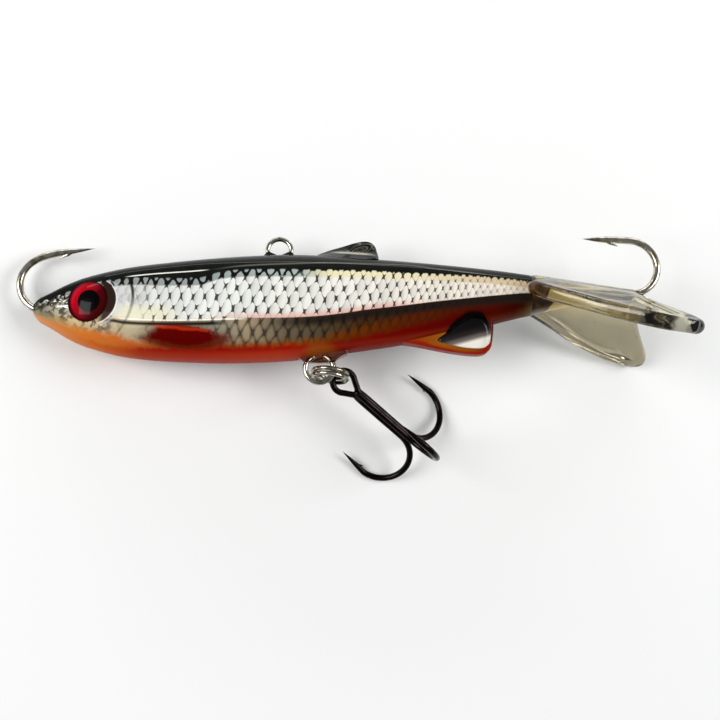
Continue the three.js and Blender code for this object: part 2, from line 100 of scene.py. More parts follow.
VENT_WEB = 0.75
LUG = [(35.2, -6.6), (36.2, -7.4), (36.8, -7.6), (40.4, -7.6), (40.75, -7.25), (41.3, -6.85), (42.2, -6.4),
       (42.2, -5.6), (35.2, -5.6)]
LUG_HALF = (1.4, 0.6)

# The tail: edges of the lobes as (distance out from the ridge, x).
RIDGE_START = (67, 4.74)
RIDGE_SLOPE = -math.atan2(RIDGE_START[1] - BACK[-1][1], BODY_END - RIDGE_START[0])
LOBE_DROOP = 26 * DEG
LOBE_REACH = 15.3
LOBE_ROUNDS = 13.6
LOBE_THICK = 2.0
DISH_DEPTH = 0.55
DISH_FROM = 3.0
DISH_TO = 14.2
NEAR_LOBE_FRONT = [(0, 69), (1.6, 68.2), (3.4, 66.8), (4.6, 66.7), (6.2, 68.3), (8.6, 71.7), (11.2, 75.6),
                   (13.2, 79.6), (14.6, 83.4), (LOBE_REACH, 85.0)]
FAR_LOBE_FRONT = [(0, 67), (1.6, 66), (3.4, 64.2), (4.6, 65.2), (6.2, 67.6), (8.6, 71.5), (11.2, 75.4),
                  (13.2, 79.4), (14.6, 83.2), (LOBE_REACH, 84.9)]
LOBE_BACK = [(0, 82.1), (1.6, 82.2), (3.4, 82.8), (6.5, 84.1), (9.6, 85.7), (12.6, 87.2), (14.2, 87.2),
             (LOBE_REACH, 86.0)]

# The wires.
HOOK_WIRE = 0.96
NOSE_HOOK = dict(shank=(5.6, -0.55), turn=(1.8, 3.18), radius=3.73, sweep=145, ease=1.5,
                 straight=(2.9, 7.47), point=(7.95, 8.17), barb=[(4.9, 7.6), (4.3, 7.28), (3.15, 6.72)])
TAIL_HOOK = dict(shank=(69.0, 3.66), turn=(80.9, 5.72), radius=3.78, sweep=183, ease=1.2,
                 straight=(78.4, 9.62), point=(74.5, 9.76), barb=[(77.7, 9.5), (78.3, 9.2), (79.45, 8.7)])
POINT_STEPS = 26
TIE_WIRE = 0.66
TIE_LOOP = dict(centre=(32.95, 7.95), radius=1.6, length=4.6, apart=0.37)
BELLY_WIRE = 0.76
BELLY_LOOP = dict(centre=(38.45, -8.35), radius=1.88, length=3.8, apart=0.43)
LOOP_NECK = 0.55
LOOP_MOUTH = 1.9
RING = dict(centre=(39.56, -9.17, 7.545), heading=-9.1 * DEG, leaned=14.8 * DEG, diameter=4.6, wire=0.62,
            pitch=0.7)
TREBLE = dict(eye=(41.59, -10.03, 6.29), aim=-40.2 * DEG, dip=7.9 * DEG, wire=0.88, eye_radius=1.52,
              shank=11.3, bend=4.1, gape=8.3, point=3.93, flare=0.12, off_centre=1.08)

# The eyes.
EYE_AT = (8.28, -0.06)
EYE_RADIUS = 2.74
EYE_GAP = 0.05
EYE_DOME = 0.7
EYE_SUNK = 0.5
EYE_TURNED = 10 * DEG
EYE_ROLLED = 2 * DEG


def linear(hex_colour):
    """An sRGB hex colour as the linear values that the shaders take."""
    parts = [int(hex_colour[i:i + 2], 16) / 255 for i in (1, 3, 5)]
    return (*[c / 12.92 if c <= 0.04045 else ((c + 0.055) / 1.055) ** 2.4 for c in parts], 1.0)


def feed(tree, node, inputs):
    """Fills a node's sockets, given by name or as a list from the first one on. A node lends its first
    output, and a plain value is written on the socket."""
    for socket, value in inputs.items() if isinstance(inputs, dict) else enumerate(inputs):
        if isinstance(value, bpy.types.Node):
            value = next(output for output in value.outputs if output.enabled)
        if isinstance(value, bpy.types.NodeSocket):
            tree.links.new(value, node.inputs[socket])
        else:
            node.inputs[socket].default_value = value


def add(tree, kind, inputs=None, stops=None, **settings):
    """One node with its settings, its links and plain inputs, and a colour ramp's (place, hex) stops."""
    if not kind.startswith(("GeometryNode", "FunctionNode", "NodeGroup")):
        kind = "ShaderNode" + kind
    node = tree.nodes.new(kind)
    for key, value in settings.items():
        setattr(node, key, value)
    if stops:
        bands = node.color_ramp.elements
        bands[0].position, bands[0].color = stops[0][0], linear(stops[0][1])
        bands[1].position, bands[1].color = stops[-1][0], linear(stops[-1][1])
        for at, colour in stops[1:-1]:
            bands.new(at).color = linear(colour)
    feed(tree, node, inputs or [])
    return node


# Shapes.

def line(pairs):
    """A smooth line through (position, value) pairs, read at any position."""
    xs = [p[0] for p in pairs]
    ys = [p[1] for p in pairs]
    last = len(pairs) - 1
    slopes = [(ys[min(i + 1, last)] - ys[max(i - 1, 0)]) / (xs[min(i + 1, last)] - xs[max(i - 1, 0)])
              for i in range(len(pairs))]

    def read(x):
        i = 0
        while i < last - 1 and x > xs[i + 1]:
            i += 1
        width = xs[i + 1] - xs[i]
        t = (x - xs[i]) / width
        value = (1 + 2 * t) * (1 - t) ** 2 * ys[i] + t * t * (3 - 2 * t) * ys[i + 1]
        return value + width * t * (1 - t) * ((1 - t) * slopes[i] - t * slopes[i + 1])
    return read


def closed_curve(points, steps=5):
    """A drawn outline as a smooth closed curve through its points."""
    n = len(points)
    pts = [np.array(p, float) for p in points]
    out = []
    for i in range(n):
        a, b, c, d = pts[i - 1], pts[i], pts[(i + 1) % n], pts[(i + 2) % n]
        width = np.linalg.norm(c - b)
        m1 = (c - a) / max(np.linalg.norm(c - b) + np.linalg.norm(b - a), 1e-9) * width
        m2 = (d - b) / max(np.linalg.norm(d - c) + np.linalg.norm(c - b), 1e-9) * width
        for k in range(steps):
            t = k / steps
            h = (2 * t**3 - 3 * t**2 + 1) * b + (t**3 - 2 * t**2 + t) * m1
            out.append(h + (-2 * t**3 + 3 * t**2) * c + (t**3 - t**2) * m2)
    return out


def smooth_path(points, steps):
    """A path through a few points, eased between them."""
    pts = [np.array(p, float) for p in points]
    out = []
    for i in range(len(pts) - 1):
        a, b = pts[max(i - 1, 0)], pts[i]
        c, d = pts[i + 1], pts[min(i + 2, len(pts) - 1)]
        for k in range(steps):
            t = k / steps
            out.append(tuple(0.5 * ((2 * b) + (c - a) * t + (2 * a - 5 * b + 4 * c - d) * t * t
                                    + (3 * b - a - 3 * c + d) * t ** 3)))
    return out + [tuple(pts[-1])]


def arc(centre, radius, start, stop, steps):
    """Points along a circle's arc, from one angle to another."""
    angles = [start + (stop - start) * i / steps for i in range(steps + 1)]
    return [(centre[0] + radius * math.cos(a), centre[1] + radius * math.sin(a), 0.0) for a in angles]


def between(a, b, steps):
    """Points along a straight line, without its last one."""
    a, b = np.array(a, float), np.array(b, float)
    return [tuple(a + (b - a) * i / steps) for i in range(steps)]


def in_scene(name, data):
    """An object at the origin, in the scene."""
    obj = bpy.data.objects.new(name, data)
    bpy.context.collection.objects.link(obj)
    return obj


def loft_faces(rows, count):
    """Faces of a closed tube through rings of points, with a fan to a middle point at each end."""
    faces = []
    for r in range(rows - 1):
        for k in range(count):
            a = r * count + k
            b = r * count + (k + 1) % count
            faces.append((a, a + count, b + count, b))
    first, last = rows * count, rows * count + 1
    for k in range(count):
        following = (k + 1) % count
        faces.append((first, k, following))
        faces.append((last, (rows - 1) * count + following, (rows - 1) * count + k))
    return faces


def loft(name, rings, place):
    """A closed solid through rings of points, laid down by place, with its faces outwards."""
    rings = [np.array(r, float) for r in rings]
    points = np.vstack(rings + [rings[0].mean(axis=0)[None], rings[-1].mean(axis=0)[None]])
    mesh = bpy.data.meshes.new(name)
    mesh.from_pydata([tuple(p) for p in points], [], loft_faces(len(rings), len(rings[0])))
    mesh.transform(place)
    shape = bmesh.new()
    shape.from_mesh(mesh)
    bmesh.ops.remove_doubles(shape, verts=shape.verts, dist=1e-7)
    bmesh.ops.recalc_face_normals(shape, faces=shape.faces)
    shape.to_mesh(mesh)
    shape.free()
    return in_scene(name, mesh)


def smooth(obj, sharp_degrees=SHARP):
    """Smooth shading, with edges kept sharp past an angle."""
    obj.data.polygons.foreach_set("use_smooth", [True] * len(obj.data.polygons))
    obj.data.set_sharp_from_angle(angle=sharp_degrees * DEG)


def settle(obj, modifier):
    """Keeps the mesh that a modifier makes, and removes the modifier."""
    bpy.context.view_layer.update()
    made = bpy.data.meshes.new_from_object(obj.evaluated_get(bpy.context.evaluated_depsgraph_get()))
    obj.modifiers.remove(modifier)
    old = obj.data
    obj.data = made
    bpy.data.meshes.remove(old)
    return obj


def join_solids(base, others, operation, crossing=False):
    """Others joined to base, or cut from it, as exact solids. Crossing parts may pass through themselves."""
    for other in others:
        cut = base.modifiers.new("join", "BOOLEAN")
        cut.object = other
        cut.operation = operation
        cut.solver = "EXACT"
        cut.use_self = crossing
        cut.material_mode = "TRANSFER"
        settle(base, cut)
        bpy.data.objects.remove(other)
    return base


def to_table_top(obj):
    """Nothing goes below the table top: the flank keeps the flat spot that it lies on."""
    for v in obj.data.vertices:
        v.co.z = max(v.co.z, 0.0)


# The clear moulding.

back, belly, half_width = line(BACK), line(BELLY), line(HALF_WIDTH)
upper_crease, upper_share, flank_crease = line(UPPER_CREASE), line(UPPER_CREASE_SHARE), line(FLANK_CREASE)


def body_ring(x, shrink=0.0):
    """The body's section at x: round the back, down the side's flat panel and in under the belly."""
    tip = math.sqrt(1 - (1 - x / NOSE_RADIUS) ** 2) if x < NOSE_RADIUS else 1
    rounded = lambda y: NOSE_Y + (y - NOSE_Y) * tip
    top, bottom = rounded(back(x)) - shrink, rounded(belly(x)) + shrink
    wide = half_width(x) * tip - shrink
    crease_y, flank_y = rounded(upper_crease(x)), rounded(flank_crease(x))
    crease_z = wide * upper_share(x)
    side = []
    for k in range(10):
        t = math.pi / 2 * k / 10
        side.append((crease_y + (top - crease_y) * math.cos(t), crease_z * math.sin(t) ** 1.1))
    for k in range(8):
        t = k / 8
        crown = 4 * t * (1 - t) * PANEL_CROWN * wide
        side.append((crease_y + (flank_y - crease_y) * t, crease_z + (wide - crease_z) * t + crown))
    for k in range(14):
        t = math.pi / 2 * k / 13
        side.append((flank_y + (bottom - flank_y) * math.sin(t) ** 1.05, wide * max(math.cos(t), 0) ** 0.8))
    side[-1] = (side[-1][0], 0.0)
    left = [(x, y, z) for y, z in side]
    return left + [(x, y, -z) for y, z in side[-2:0:-1]]


def sections(start, stop):
    """Places for the body's sections, a step apart, that end at stop."""
    return list(np.arange(start, stop - SECTION_STEP / 2, SECTION_STEP)) + [stop]


def scaled(outline, scale):
    """An outline drawn larger or smaller about its middle."""
    middle = np.mean(np.array(outline), axis=0)
    return [middle + (np.array(p) - middle) * scale for p in outline]


def fin_plate(name, outline, halves, edge_y, foot_y, flare=1.0):
    """A plate with a drawn outline and rounded edges, flared from its free edge to its foot."""
    foot_half, edge_half = halves
    outline = closed_curve(outline)
    rings = []
    rounding = [(0.5, 1.0), (0.72, 0.995), (0.86, 0.98), (0.94, 0.96), (0.985, 0.93), (1, 0.90)]
    for share, scale in [(-share, scale) for share, scale in rounding[::-1]] + rounding:
        ring = []
        for x, y in scaled(outline, scale):
            foot = min(max((y - edge_y) / (foot_y - edge_y), 0), 1)
            ring.append((x, y, share * (edge_half + (foot_half - edge_half) * foot ** flare)))
        rings.append(ring)
    return loft(name, rings, FISH)


def scoop(outline, web, side):
    """The hollow in one face of a fin, with a rounded floor, down to the web."""
    outline = closed_curve(outline)
    floor = [(0, 0.86), (0.06, 0.92), (0.2, 0.97), (0.5, 1.0), (4, 1.12)]
    rings = [[(x, y, side * (web + up)) for x, y in scaled(outline, scale)] for up, scale in floor]
    return loft("scoop", rings, FISH)


def lobe_dish(share, s):
    """How deep the scoop in a lobe's upper face is, in millimetres."""
    along = min(max((s - DISH_FROM) / 3.5, 0), 1) * min(max((DISH_TO - s) / 2.5, 0), 1)
    across = max(0.0, 1 - (share / 0.72) ** 2)
    return DISH_DEPTH * along * across ** 0.7


def tail_lobe(name, side, front_edge):
    """One tail lobe: sections across the fork, from the ridge out to the rounded tip."""
    front, rear = line(front_edge), line(LOBE_BACK)
    slope_sin, slope_cos = math.sin(RIDGE_SLOPE), math.cos(RIDGE_SLOPE)
    droop_sin, droop_cos = math.sin(LOBE_DROOP), math.cos(LOBE_DROOP)
    ridge = np.array([slope_cos, slope_sin, 0])
    out = np.array([droop_sin * slope_sin, -droop_sin * slope_cos, side * droop_cos])
    upward = np.array([-slope_sin * droop_cos, slope_cos * droop_cos, side * droop_sin])
    root = np.array([*RIDGE_START, 0.0])
    rings = []
    for s in list(np.linspace(0, LOBE_ROUNDS, 35)) + list(np.linspace(LOBE_ROUNDS + 0.15, LOBE_REACH, 14)):
        tip = max(0, (s - LOBE_ROUNDS) / (LOBE_REACH - LOBE_ROUNDS))
        middle = (front(s) + rear(s)) / 2 + 0.4 * tip
        half = (rear(s) - front(s)) / 2 * math.sqrt(1 - 0.86 * tip * tip)
        thick = LOBE_THICK * (1 - 0.3 * tip * tip)
        r = min(thick / 2, half * 0.9)
        edge = [(half - r + r * math.cos(a * DEG), thick / 2 * (math.sin(a * DEG) - 1))
                for a in np.linspace(-90, 90, 13)]
        across = np.linspace(half - r, -(half - r), 17)[1:-1]
        ring = edge + [(u, -lobe_dish(u / half, s)) for u in across]
        ring += [(-u, v) for u, v in edge[::-1]] + [(u, -thick) for u in across[::-1]]
        rings.append([root + ridge * (middle + u - RIDGE_START[0]) + out * s + upward * v for u, v in ring])
    return loft(name, rings, FISH)


def make_moulding():
    """The one clear moulding: body, fins, lug and tail, with the fins' scoops and the eyes' seats cut in."""
    rounded_nose = [0.03, 0.1, 0.2, 0.35, 0.55, 0.8, 1.05, NOSE_RADIUS, 1.7, 2.2]
    places = rounded_nose + sections(2.8, PRINT_END) + sections(PRINT_END + SECTION_STEP, BODY_END)
    body = loft("moulded_body", [body_ring(x) for x in places], FISH)
    for coat in (foil_print, clear_plastic, back_print):
        body.data.materials.append(coat)
    for face in body.data.polygons:
        at = IN_FISH @ face.center
        face.material_index = 1 if at.x > PRINT_END else 2 if at.y > upper_crease(at.x) else 0
    fins = [(fin_plate("back_fin", BACK_FIN, BACK_FIN_HALF, edge_y=9.1, foot_y=6.2, flare=2.4), fin_plastic),
            (fin_plate("tie_feet", TIE_FEET, TIE_FEET_HALF, edge_y=7.5, foot_y=6.4, flare=1.6), fin_plastic),
            (fin_plate("vent_fin", VENT_FIN, VENT_FIN_HALF, edge_y=-6.6, foot_y=-2.2), vent_ink),
            (fin_plate("lug", LUG, LUG_HALF, edge_y=-7.6, foot_y=-6.4), clear_plastic),
            (tail_lobe("near_lobe", 1, NEAR_LOBE_FRONT), clear_plastic),
            (tail_lobe("far_lobe", -1, FAR_LOBE_FRONT), clear_plastic)]
    cuts = []
    for side in (-1, 1):
        cuts += [(scoop(BACK_FIN_SCOOP, BACK_FIN_WEB, side), fin_plastic),
                 (scoop(VENT_SCOOP, VENT_WEB, side), scoop_shading),
                 (eye_solid("seat", side, EYE_RADIUS + EYE_GAP, depth=2.0, dome=3.0), fin_plastic)]
    for part, coat in fins + cuts:
        part.data.materials.append(coat)
    join_solids(body, [part for part, coat in fins], "UNION")
    join_solids(body, [part for part, coat in cuts], "DIFFERENCE")
    to_table_top(body)
    smooth(body, BODY_SHARP)
    return body


def make_core(name, start, stop, coat, shrink, point=0.0):
    """A stretch of the sealed metal core, seen through the clear lug or the clear tail."""
    share = lambda x: (x - start) / (stop - start)
    rings = [body_ring(x, shrink + point * share(x) ** 2) for x in sections(start, stop)]
    core = loft(name, rings, FISH)
    core.data.materials.append(coat)
    core.data.materials.append(core_metal)
    for face in core.data.polygons:
        if (IN_FISH @ face.center).x > stop - 0.02:
            face.material_index = 1
    smooth(core, BODY_SHARP)
    return core


# The eyes.

def eye_place(side):
    """From an eye's own millimetres, its face up z, to its seat on the head."""
    seat_z = half_width(EYE_AT[0]) - EYE_SUNK
    turn = Matrix.Rotation(-EYE_TURNED, 4, "Y") @ Matrix.Rotation(-EYE_ROLLED, 4, "X")
    mirror = Matrix.Diagonal((1, 1, side, 1))
    return FISH @ mirror @ Matrix.Translation((EYE_AT[0], EYE_AT[1], seat_z)) @ turn


def eye_solid(name, side, radius, depth, dome):
    """A short plug with a dome on it, turned from its back to its front."""
    profile = [(radius, -depth), (radius, 0)]
    sphere = (radius * radius + dome * dome) / (2 * dome)
    for k in range(1, 16):
        r = radius * math.cos(math.pi / 2 * k / 16)
        profile.append((r, math.sqrt(sphere * sphere - r * r) - (sphere - dome)))
    turned = [[(r * math.cos(2 * math.pi * k / 64), r * math.sin(2 * math.pi * k / 64), h) for k in range(64)]
              for r, h in profile]
    return loft(name, turned, eye_place(side))


# The wires, as Geometry Nodes.

def new_tree(name, inputs):
    """A tree with a geometry in and out and the named inputs."""
    tree = bpy.data.node_groups.new(name, "GeometryNodeTree")
    tree.interface.new_socket("Geometry", in_out="INPUT", socket_type="NodeSocketGeometry")
    for label, kind in inputs.items():
        tree.interface.new_socket(label, in_out="INPUT", socket_type="NodeSocket" + kind)
    tree.interface.new_socket("Geometry", in_out="OUTPUT", socket_type="NodeSocketGeometry")
    return tree, add(tree, "NodeGroupInput").outputs


def end_tree(tree, given, geometry):
    """Ends a tree: its instances made real, and their finish set."""
    real = add(tree, "GeometryNodeRealizeInstances", {"Geometry": geometry})
    finished = add(tree, "GeometryNodeSetMaterial", {"Geometry": real, "Material": given["Finish"]})
    add(tree, "NodeGroupOutput", {"Geometry": finished})
    return tree


def wire_tree():
    """A round wire swept along a drawn path; the attribute taper thins it towards its point."""
    tree, given = new_tree("wire_along_a_path",
                           {"Wire diameter": "Float", "Sides": "Int", "Finish": "Material"})
    path = add(tree, "GeometryNodeMeshToCurve", {"Mesh": given["Geometry"]})
    half = add(tree, "Math", [given["Wire diameter"], 0.5], operation="MULTIPLY")
    section = add(tree, "GeometryNodeCurvePrimitiveCircle", {"Resolution": given["Sides"], "Radius": half})
    taper = add(tree, "GeometryNodeInputNamedAttribute", {"Name": "taper"}, data_type="FLOAT")
    swept = add(tree, "GeometryNodeCurveToMesh", {"Curve": path, "Profile Curve": section,
                                                  "Scale": taper.outputs["Attribute"], "Fill Caps": True})
    return end_tree(tree, given, swept)


def prongs_tree():
    """Equal prongs set round one shank along x."""
    tree, given = new_tree("prongs_round_a_shank", {"Prongs": "Int", "Finish": "Material"})
    points = add(tree, "GeometryNodePoints", {"Count": given["Prongs"]})
    step = add(tree, "Math", [2 * math.pi, given["Prongs"]], operation="DIVIDE")
    angle = add(tree, "Math", [add(tree, "GeometryNodeInputIndex"), step], operation="MULTIPLY")
    turn = add(tree, "FunctionNodeAxisAngleToRotation", {"Axis": (1, 0, 0), "Angle": angle})
    placed = add(tree, "GeometryNodeInstanceOnPoints",
                 {"Points": points, "Instance": given["Geometry"], "Rotation": turn})
    return end_tree(tree, given, placed)


WIRE_TREE = wire_tree()
PRONGS_TREE = prongs_tree()


def grow(obj, tree, **inputs):
    """Runs a tree on an object with the named inputs, and leaves a plain mesh."""
    modifier = obj.modifiers.new("grow", "NODES")
    modifier.node_group = tree
    names = {item.name.replace(" ", "_"): item.identifier for item in tree.interface.items_tree
             if item.in_out == "INPUT"}
    for key, value in inputs.items():
        modifier[names[key]] = value
    return settle(obj, modifier)


def wire(name, path, diameter, plating, taper=None, sides=20):
    """A round wire along a path in millimetres, not laid down yet."""
    mesh = bpy.data.meshes.new(name)
    mesh.from_pydata([tuple(p) for p in path], [(i, i + 1) for i in range(len(path) - 1)], [])
    shares = mesh.attributes.new("taper", "FLOAT", "POINT")
    shares.data.foreach_set("value", taper if taper is not None else [1.0] * len(path))
    return grow(in_scene(name, mesh), WIRE_TREE, Wire_diameter=diameter, Sides=sides, Finish=plating)


def ground_point(count):
    """Wire thickness along a path whose last steps are ground to a point."""
    done = [max(0, i + 1 + POINT_STEPS - count) / POINT_STEPS for i in range(count)]
    return [max(1 - d ** 1.6, 0.04) for d in done]


def barb(points, plating, diameter, foot):
    """A barb cut up from the wire: thin at its foot, and sharp at its tip."""
    taper = list(np.interp(np.linspace(0, 2, 17), [0, 1, 2], [foot, 1.0, 0.06]))
    return wire("barb", smooth_path(points, 8), diameter, plating, taper, sides=12)


def finished_wire(obj, place):
    """A wire laid down, with smooth sides."""
    obj.data.transform(place)
    smooth(obj)
    return obj


def fixed_hook(name, spec, shank_angle, turn_sign, plating):
    """A single hook whose shank is sealed in the moulding: shank, bend, eased throat and ground point."""
    start = shank_angle - turn_sign * math.pi / 2
    bend = arc(spec["turn"], spec["radius"], start, start + turn_sign * spec["sweep"] * DEG, 60)
    path = between((*spec["shank"], 0.0), bend[0], 12) + bend
    end = np.array(bend[-1])
    leaving = shank_angle + turn_sign * spec["sweep"] * DEG
    control = end + spec["ease"] * np.array([math.cos(leaving), math.sin(leaving), 0])
    straight = np.array([*spec["straight"], 0.0])
    point = np.array([*spec["point"], 0.0])
    for i in range(1, 13):
        t = i / 12
        path.append(tuple((1 - t) ** 2 * end + 2 * t * (1 - t) * control + t * t * straight))
    path += between(straight, point, POINT_STEPS)[1:] + [tuple(point)]
    hook = wire(name, path, HOOK_WIRE, plating, ground_point(len(path)))
    cut_up = barb([(*p, 0.0) for p in spec["barb"]], plating, diameter=0.5, foot=0.55)
    cut_up.data.transform(FISH)
    hook.data.transform(FISH)
    join_solids(hook, [cut_up], "UNION")
    smooth(hook)
    return hook


def leg_loop(name, spec, diameter, legs_up, plating):
    """A wire loop whose two legs run into the moulding."""
    x, y = spec["centre"]
    mouth = math.asin(spec["apart"] / spec["radius"]) * LOOP_MOUTH
    foot = lambda s: (x + s * spec["apart"], y + legs_up * spec["length"], 0.0)
    neck = lambda s: (x + s * spec["apart"], y + legs_up * (spec["radius"] + LOOP_NECK), 0.0)
    start = legs_up * math.pi / 2 - mouth
    loop = arc((x, y), spec["radius"], start, start - 2 * math.pi + 2 * mouth, 72)
    path = smooth_path([foot(legs_up), neck(legs_up), loop[0]], 8)[:-1] + loop
    path += smooth_path([loop[-1], neck(-legs_up), foot(-legs_up)], 8)[1:]
    return finished_wire(wire(name, path, diameter, plating), FISH)


def split_ring(name, plating):
    """Nearly two turns of wire that step from one side to the other where they cross."""
    crossing = 26 * DEG
    first = crossing * 1.15
    last = 4 * math.pi - first
    path = []
    for i in range(181):
        angle = first + (last - first) * i / 180
        share = min(max((angle - (2 * math.pi - crossing)) / (2 * crossing), 0), 1)
        shift = RING["pitch"] * (share * share * (3 - 2 * share) - 0.5)
        path.append((RING["diameter"] / 2 * math.sin(angle), -RING["diameter"] / 2 * math.cos(angle), shift))
    across = Vector((math.cos(RING["heading"]), math.sin(RING["heading"]), 0))
    up = Vector((0, 0, 1))
    up.rotate(Matrix.Rotation(-RING["leaned"], 3, across))
    facing = across.cross(up)
    place = Matrix.Translation(RING["centre"]) @ Matrix((across, up, facing)).transposed().to_4x4()
    return finished_wire(wire(name, path, RING["wire"], plating, sides=18), TABLE @ place)


def treble_hook(name, plating):
    """Three prongs brazed round one shank, and a drawn-in eye."""
    r, reach = TREBLE["wire"] / 2, TREBLE["eye_radius"]
    off = r * TREBLE["off_centre"]
    neck = (reach + 0.75, off / 2, 0.0)
    shoulder = (reach + 1.9, off, 0.0)
    bend = arc((TREBLE["shank"], off + TREBLE["bend"]), TREBLE["bend"],
               -math.pi / 2, math.pi / 2 - TREBLE["flare"], 56)
    path = smooth_path([neck, shoulder, bend[0]], 8)[:-1] + bend
    end = np.array(bend[-1])
    point = np.array([TREBLE["shank"] - TREBLE["point"], TREBLE["gape"], 0.0])
    path += between(end, point, POINT_STEPS)[1:] + [tuple(point)]
    made = wire(name, path, TREBLE["wire"], plating, ground_point(len(path)))
    barb_tip = end + (point - end) * 0.16 - np.array([0, r + 0.28, 0])
    barb_path = [end + (point - end) * 0.6, end + (point - end) * 0.42, barb_tip]
    cut_up = barb(barb_path, plating, diameter=0.44, foot=0.5)
    join_solids(made, [cut_up], "UNION")
    made.data.transform(Matrix.Rotation(math.pi / 2, 4, "X"))
    grow(made, PRONGS_TREE, Prongs=3, Finish=plating)
    round_part = arc((0, 0), reach, 62 * DEG, 298 * DEG, 52)
    leaving = [(reach + 0.25, 0.72, 0.0), (reach + 1.0, 0.34, 0.0), (reach + 2.0, 0.2, 0.0)]
    coming = [(x, -y, z) for x, y, z in leaving]
    eye_path = smooth_path(leaving[::-1] + [round_part[0]], 8)[:-1] + round_part
    eye_path += smooth_path([round_part[-1]] + coming, 8)[1:]
    join_solids(made, [wire("eye", eye_path, TREBLE["wire"] * 0.98, plating)], "UNION", crossing=True)
    place = (Matrix.Translation(TREBLE["eye"]) @ Matrix.Rotation(TREBLE["aim"], 4, "Z")
             @ Matrix.Rotation(TREBLE["dip"], 4, "Y"))
    made.data.transform(TABLE @ place)
    to_table_top(made)
    smooth(made)
    return made


# Materials. Their patterns are drawn in the fish's own millimetres, so a noise scale of 1.1 gives
# blotches about 0.9 mm across.

def blank_material(name):
    """A new material, its tree and its one shader."""
    made = bpy.data.materials.new(name)
    made.use_nodes = True
    return made, made.node_tree, made.node_tree.nodes["Principled BSDF"]


def fish_axes(tree):
    """Millimetres along the fish, up its back and out of its side, from a point's place in the mesh."""
    place = add(tree, "TexCoord")
    mm = add(tree, "Mapping", {"Vector": place.outputs["Object"], "Location": Vector(NOSE_AT) * MM,
                               "Rotation": LYING, "Scale": (MM, MM, MM)}, vector_type="TEXTURE")
    axes = add(tree, "SeparateXYZ", [mm])
    return mm, axes.outputs["X"], axes.outputs["Y"], axes.outputs["Z"]


def drawn_line(tree, x, pairs):
    """A drawn line's height in millimetres at each place along the fish."""
    low = min(v for _, v in pairs)
    high = max(v for _, v in pairs)
    curve = add(tree, "FloatCurve", {"Value": add(tree, "Math", [x, FISH_LENGTH], operation="DIVIDE")})
    points = curve.mapping.curves[0].points
    spots = [(px / FISH_LENGTH, (v - low) / (high - low)) for px, v in pairs]
    points[0].location = spots[0]
    points[1].location = spots[-1]
    for spot in spots[1:-1]:
        points.new(*spot)
    for point in points:
        point.handle_type = "AUTO_CLAMPED"
    curve.mapping.update()
    return add(tree, "Math", [curve, high - low, low], operation="MULTIPLY_ADD")


def along_fish(tree, x, stops):
    """Colours that change along the fish, as (millimetres, hex) stops."""
    share = add(tree, "Math", [x, FISH_LENGTH], operation="DIVIDE")
    return add(tree, "ValToRGB", [share], stops=[(at / FISH_LENGTH, colour) for at, colour in stops])


def overlap(tree, *places):
    """How far a point lies in all of the places at once. A place is a node, a plain number, or an edge:
    (value, from, to), which eases from 0 to 1 between two values, or from low to high if they follow."""
    share = None
    for place in places:
        if isinstance(place, tuple):
            value, start, stop, *ends = place
            low, high = ends or (0.0, 1.0)
            place = add(tree, "MapRange", [value, start, stop, low, high],
                        interpolation_type="SMOOTHSTEP")
        share = place if share is None else add(tree, "Math", [share, place], operation="MULTIPLY")
    return share


def span(tree, value, start, stop, soft):
    """1 where a value lies between start and stop, eased over soft at both ends."""
    return overlap(tree, (value, start - soft, start + soft), (value, stop + soft, stop - soft))


def inked(tree, colour, *layers):
    """A colour with inks laid over it one after another. A layer is an ink and the places that it covers."""
    colour = linear(colour) if isinstance(colour, str) else colour
    for ink, *places in layers:
        ink = linear(ink) if isinstance(ink, str) else ink
        colour = add(tree, "Mix", {0: overlap(tree, *places), 6: colour, 7: ink}, data_type="RGBA")
    return colour


def from_spot(tree, mm, middle, radii, turned=0.0):
    """How far a point is from an oval spot's middle, at any depth; 1 is the oval itself."""
    local = add(tree, "Mapping", {"Vector": mm, "Location": (*middle, 0.0), "Rotation": (0.0, 0.0, turned),
                                  "Scale": (*radii, 1000.0)}, vector_type="TEXTURE")
    return add(tree, "VectorMath", [local], operation="LENGTH").outputs["Value"]


ACRYLIC_COAT = {"Coat Roughness": 0.03, "Coat IOR": 1.49}
# The black of the painted shadow over the vent fin's scoop.
SCOOP_SHADOW = "#0A0302"

# The print's edges, and the lines of painted highlight and shadow, in millimetres on the fish.
FOIL_TOP = [(0, 0.15), (3, 0.7), (6, 1.6), (9, 2.5), (12, 2.85), (14, 2.95), (18, 2.78), (22.2, 2.72),
            (24.2, 3.1), (26.1, 3.65), (30, 3.95), (40, 4.0), (45, 4.0), (50, 3.88), (55, 3.83), (60, 3.74),
            (62.6, 3.6), (67, 3.2), (84, 2.0)]
SILVER_LOW = [(0, -0.9), (6, -1.9), (11.2, -2.1), (13.2, -2.45), (16.5, -2.7), (20.4, -2.82), (28.2, -2.69),
              (33.4, -2.63), (36.6, -2.48), (41.2, -1.97), (44.4, -1.42), (49, -0.78), (54.3, 0.0),
              (59.7, 0.7), (62.5, 1.05), (67, 1.48), (84, 2.0)]
GREY_LOW = [(0, -1.6), (4.2, -2.7), (8.3, -3.9), (12.5, -4.7), (16, -5.5), (28.2, -5.75), (36, -5.35),
            (41.2, -4.4), (47.7, -2.6), (54.3, -0.85), (59.7, 0.25), (66.5, 1.0), (84, 1.5)]
RED_LOW = [(0, -2.1), (4.2, -3.9), (8.3, -5.3), (12.4, -6.1), (16.3, -6.2), (28.1, -6.15), (35.9, -5.85),
           (41.2, -5.3), (47.7, -3.9), (53, -2.7), (59, -0.9), (66.5, 0.4), (84, 1.0)]
BELLY_EDGE = BELLY + [(84, 1.3)]
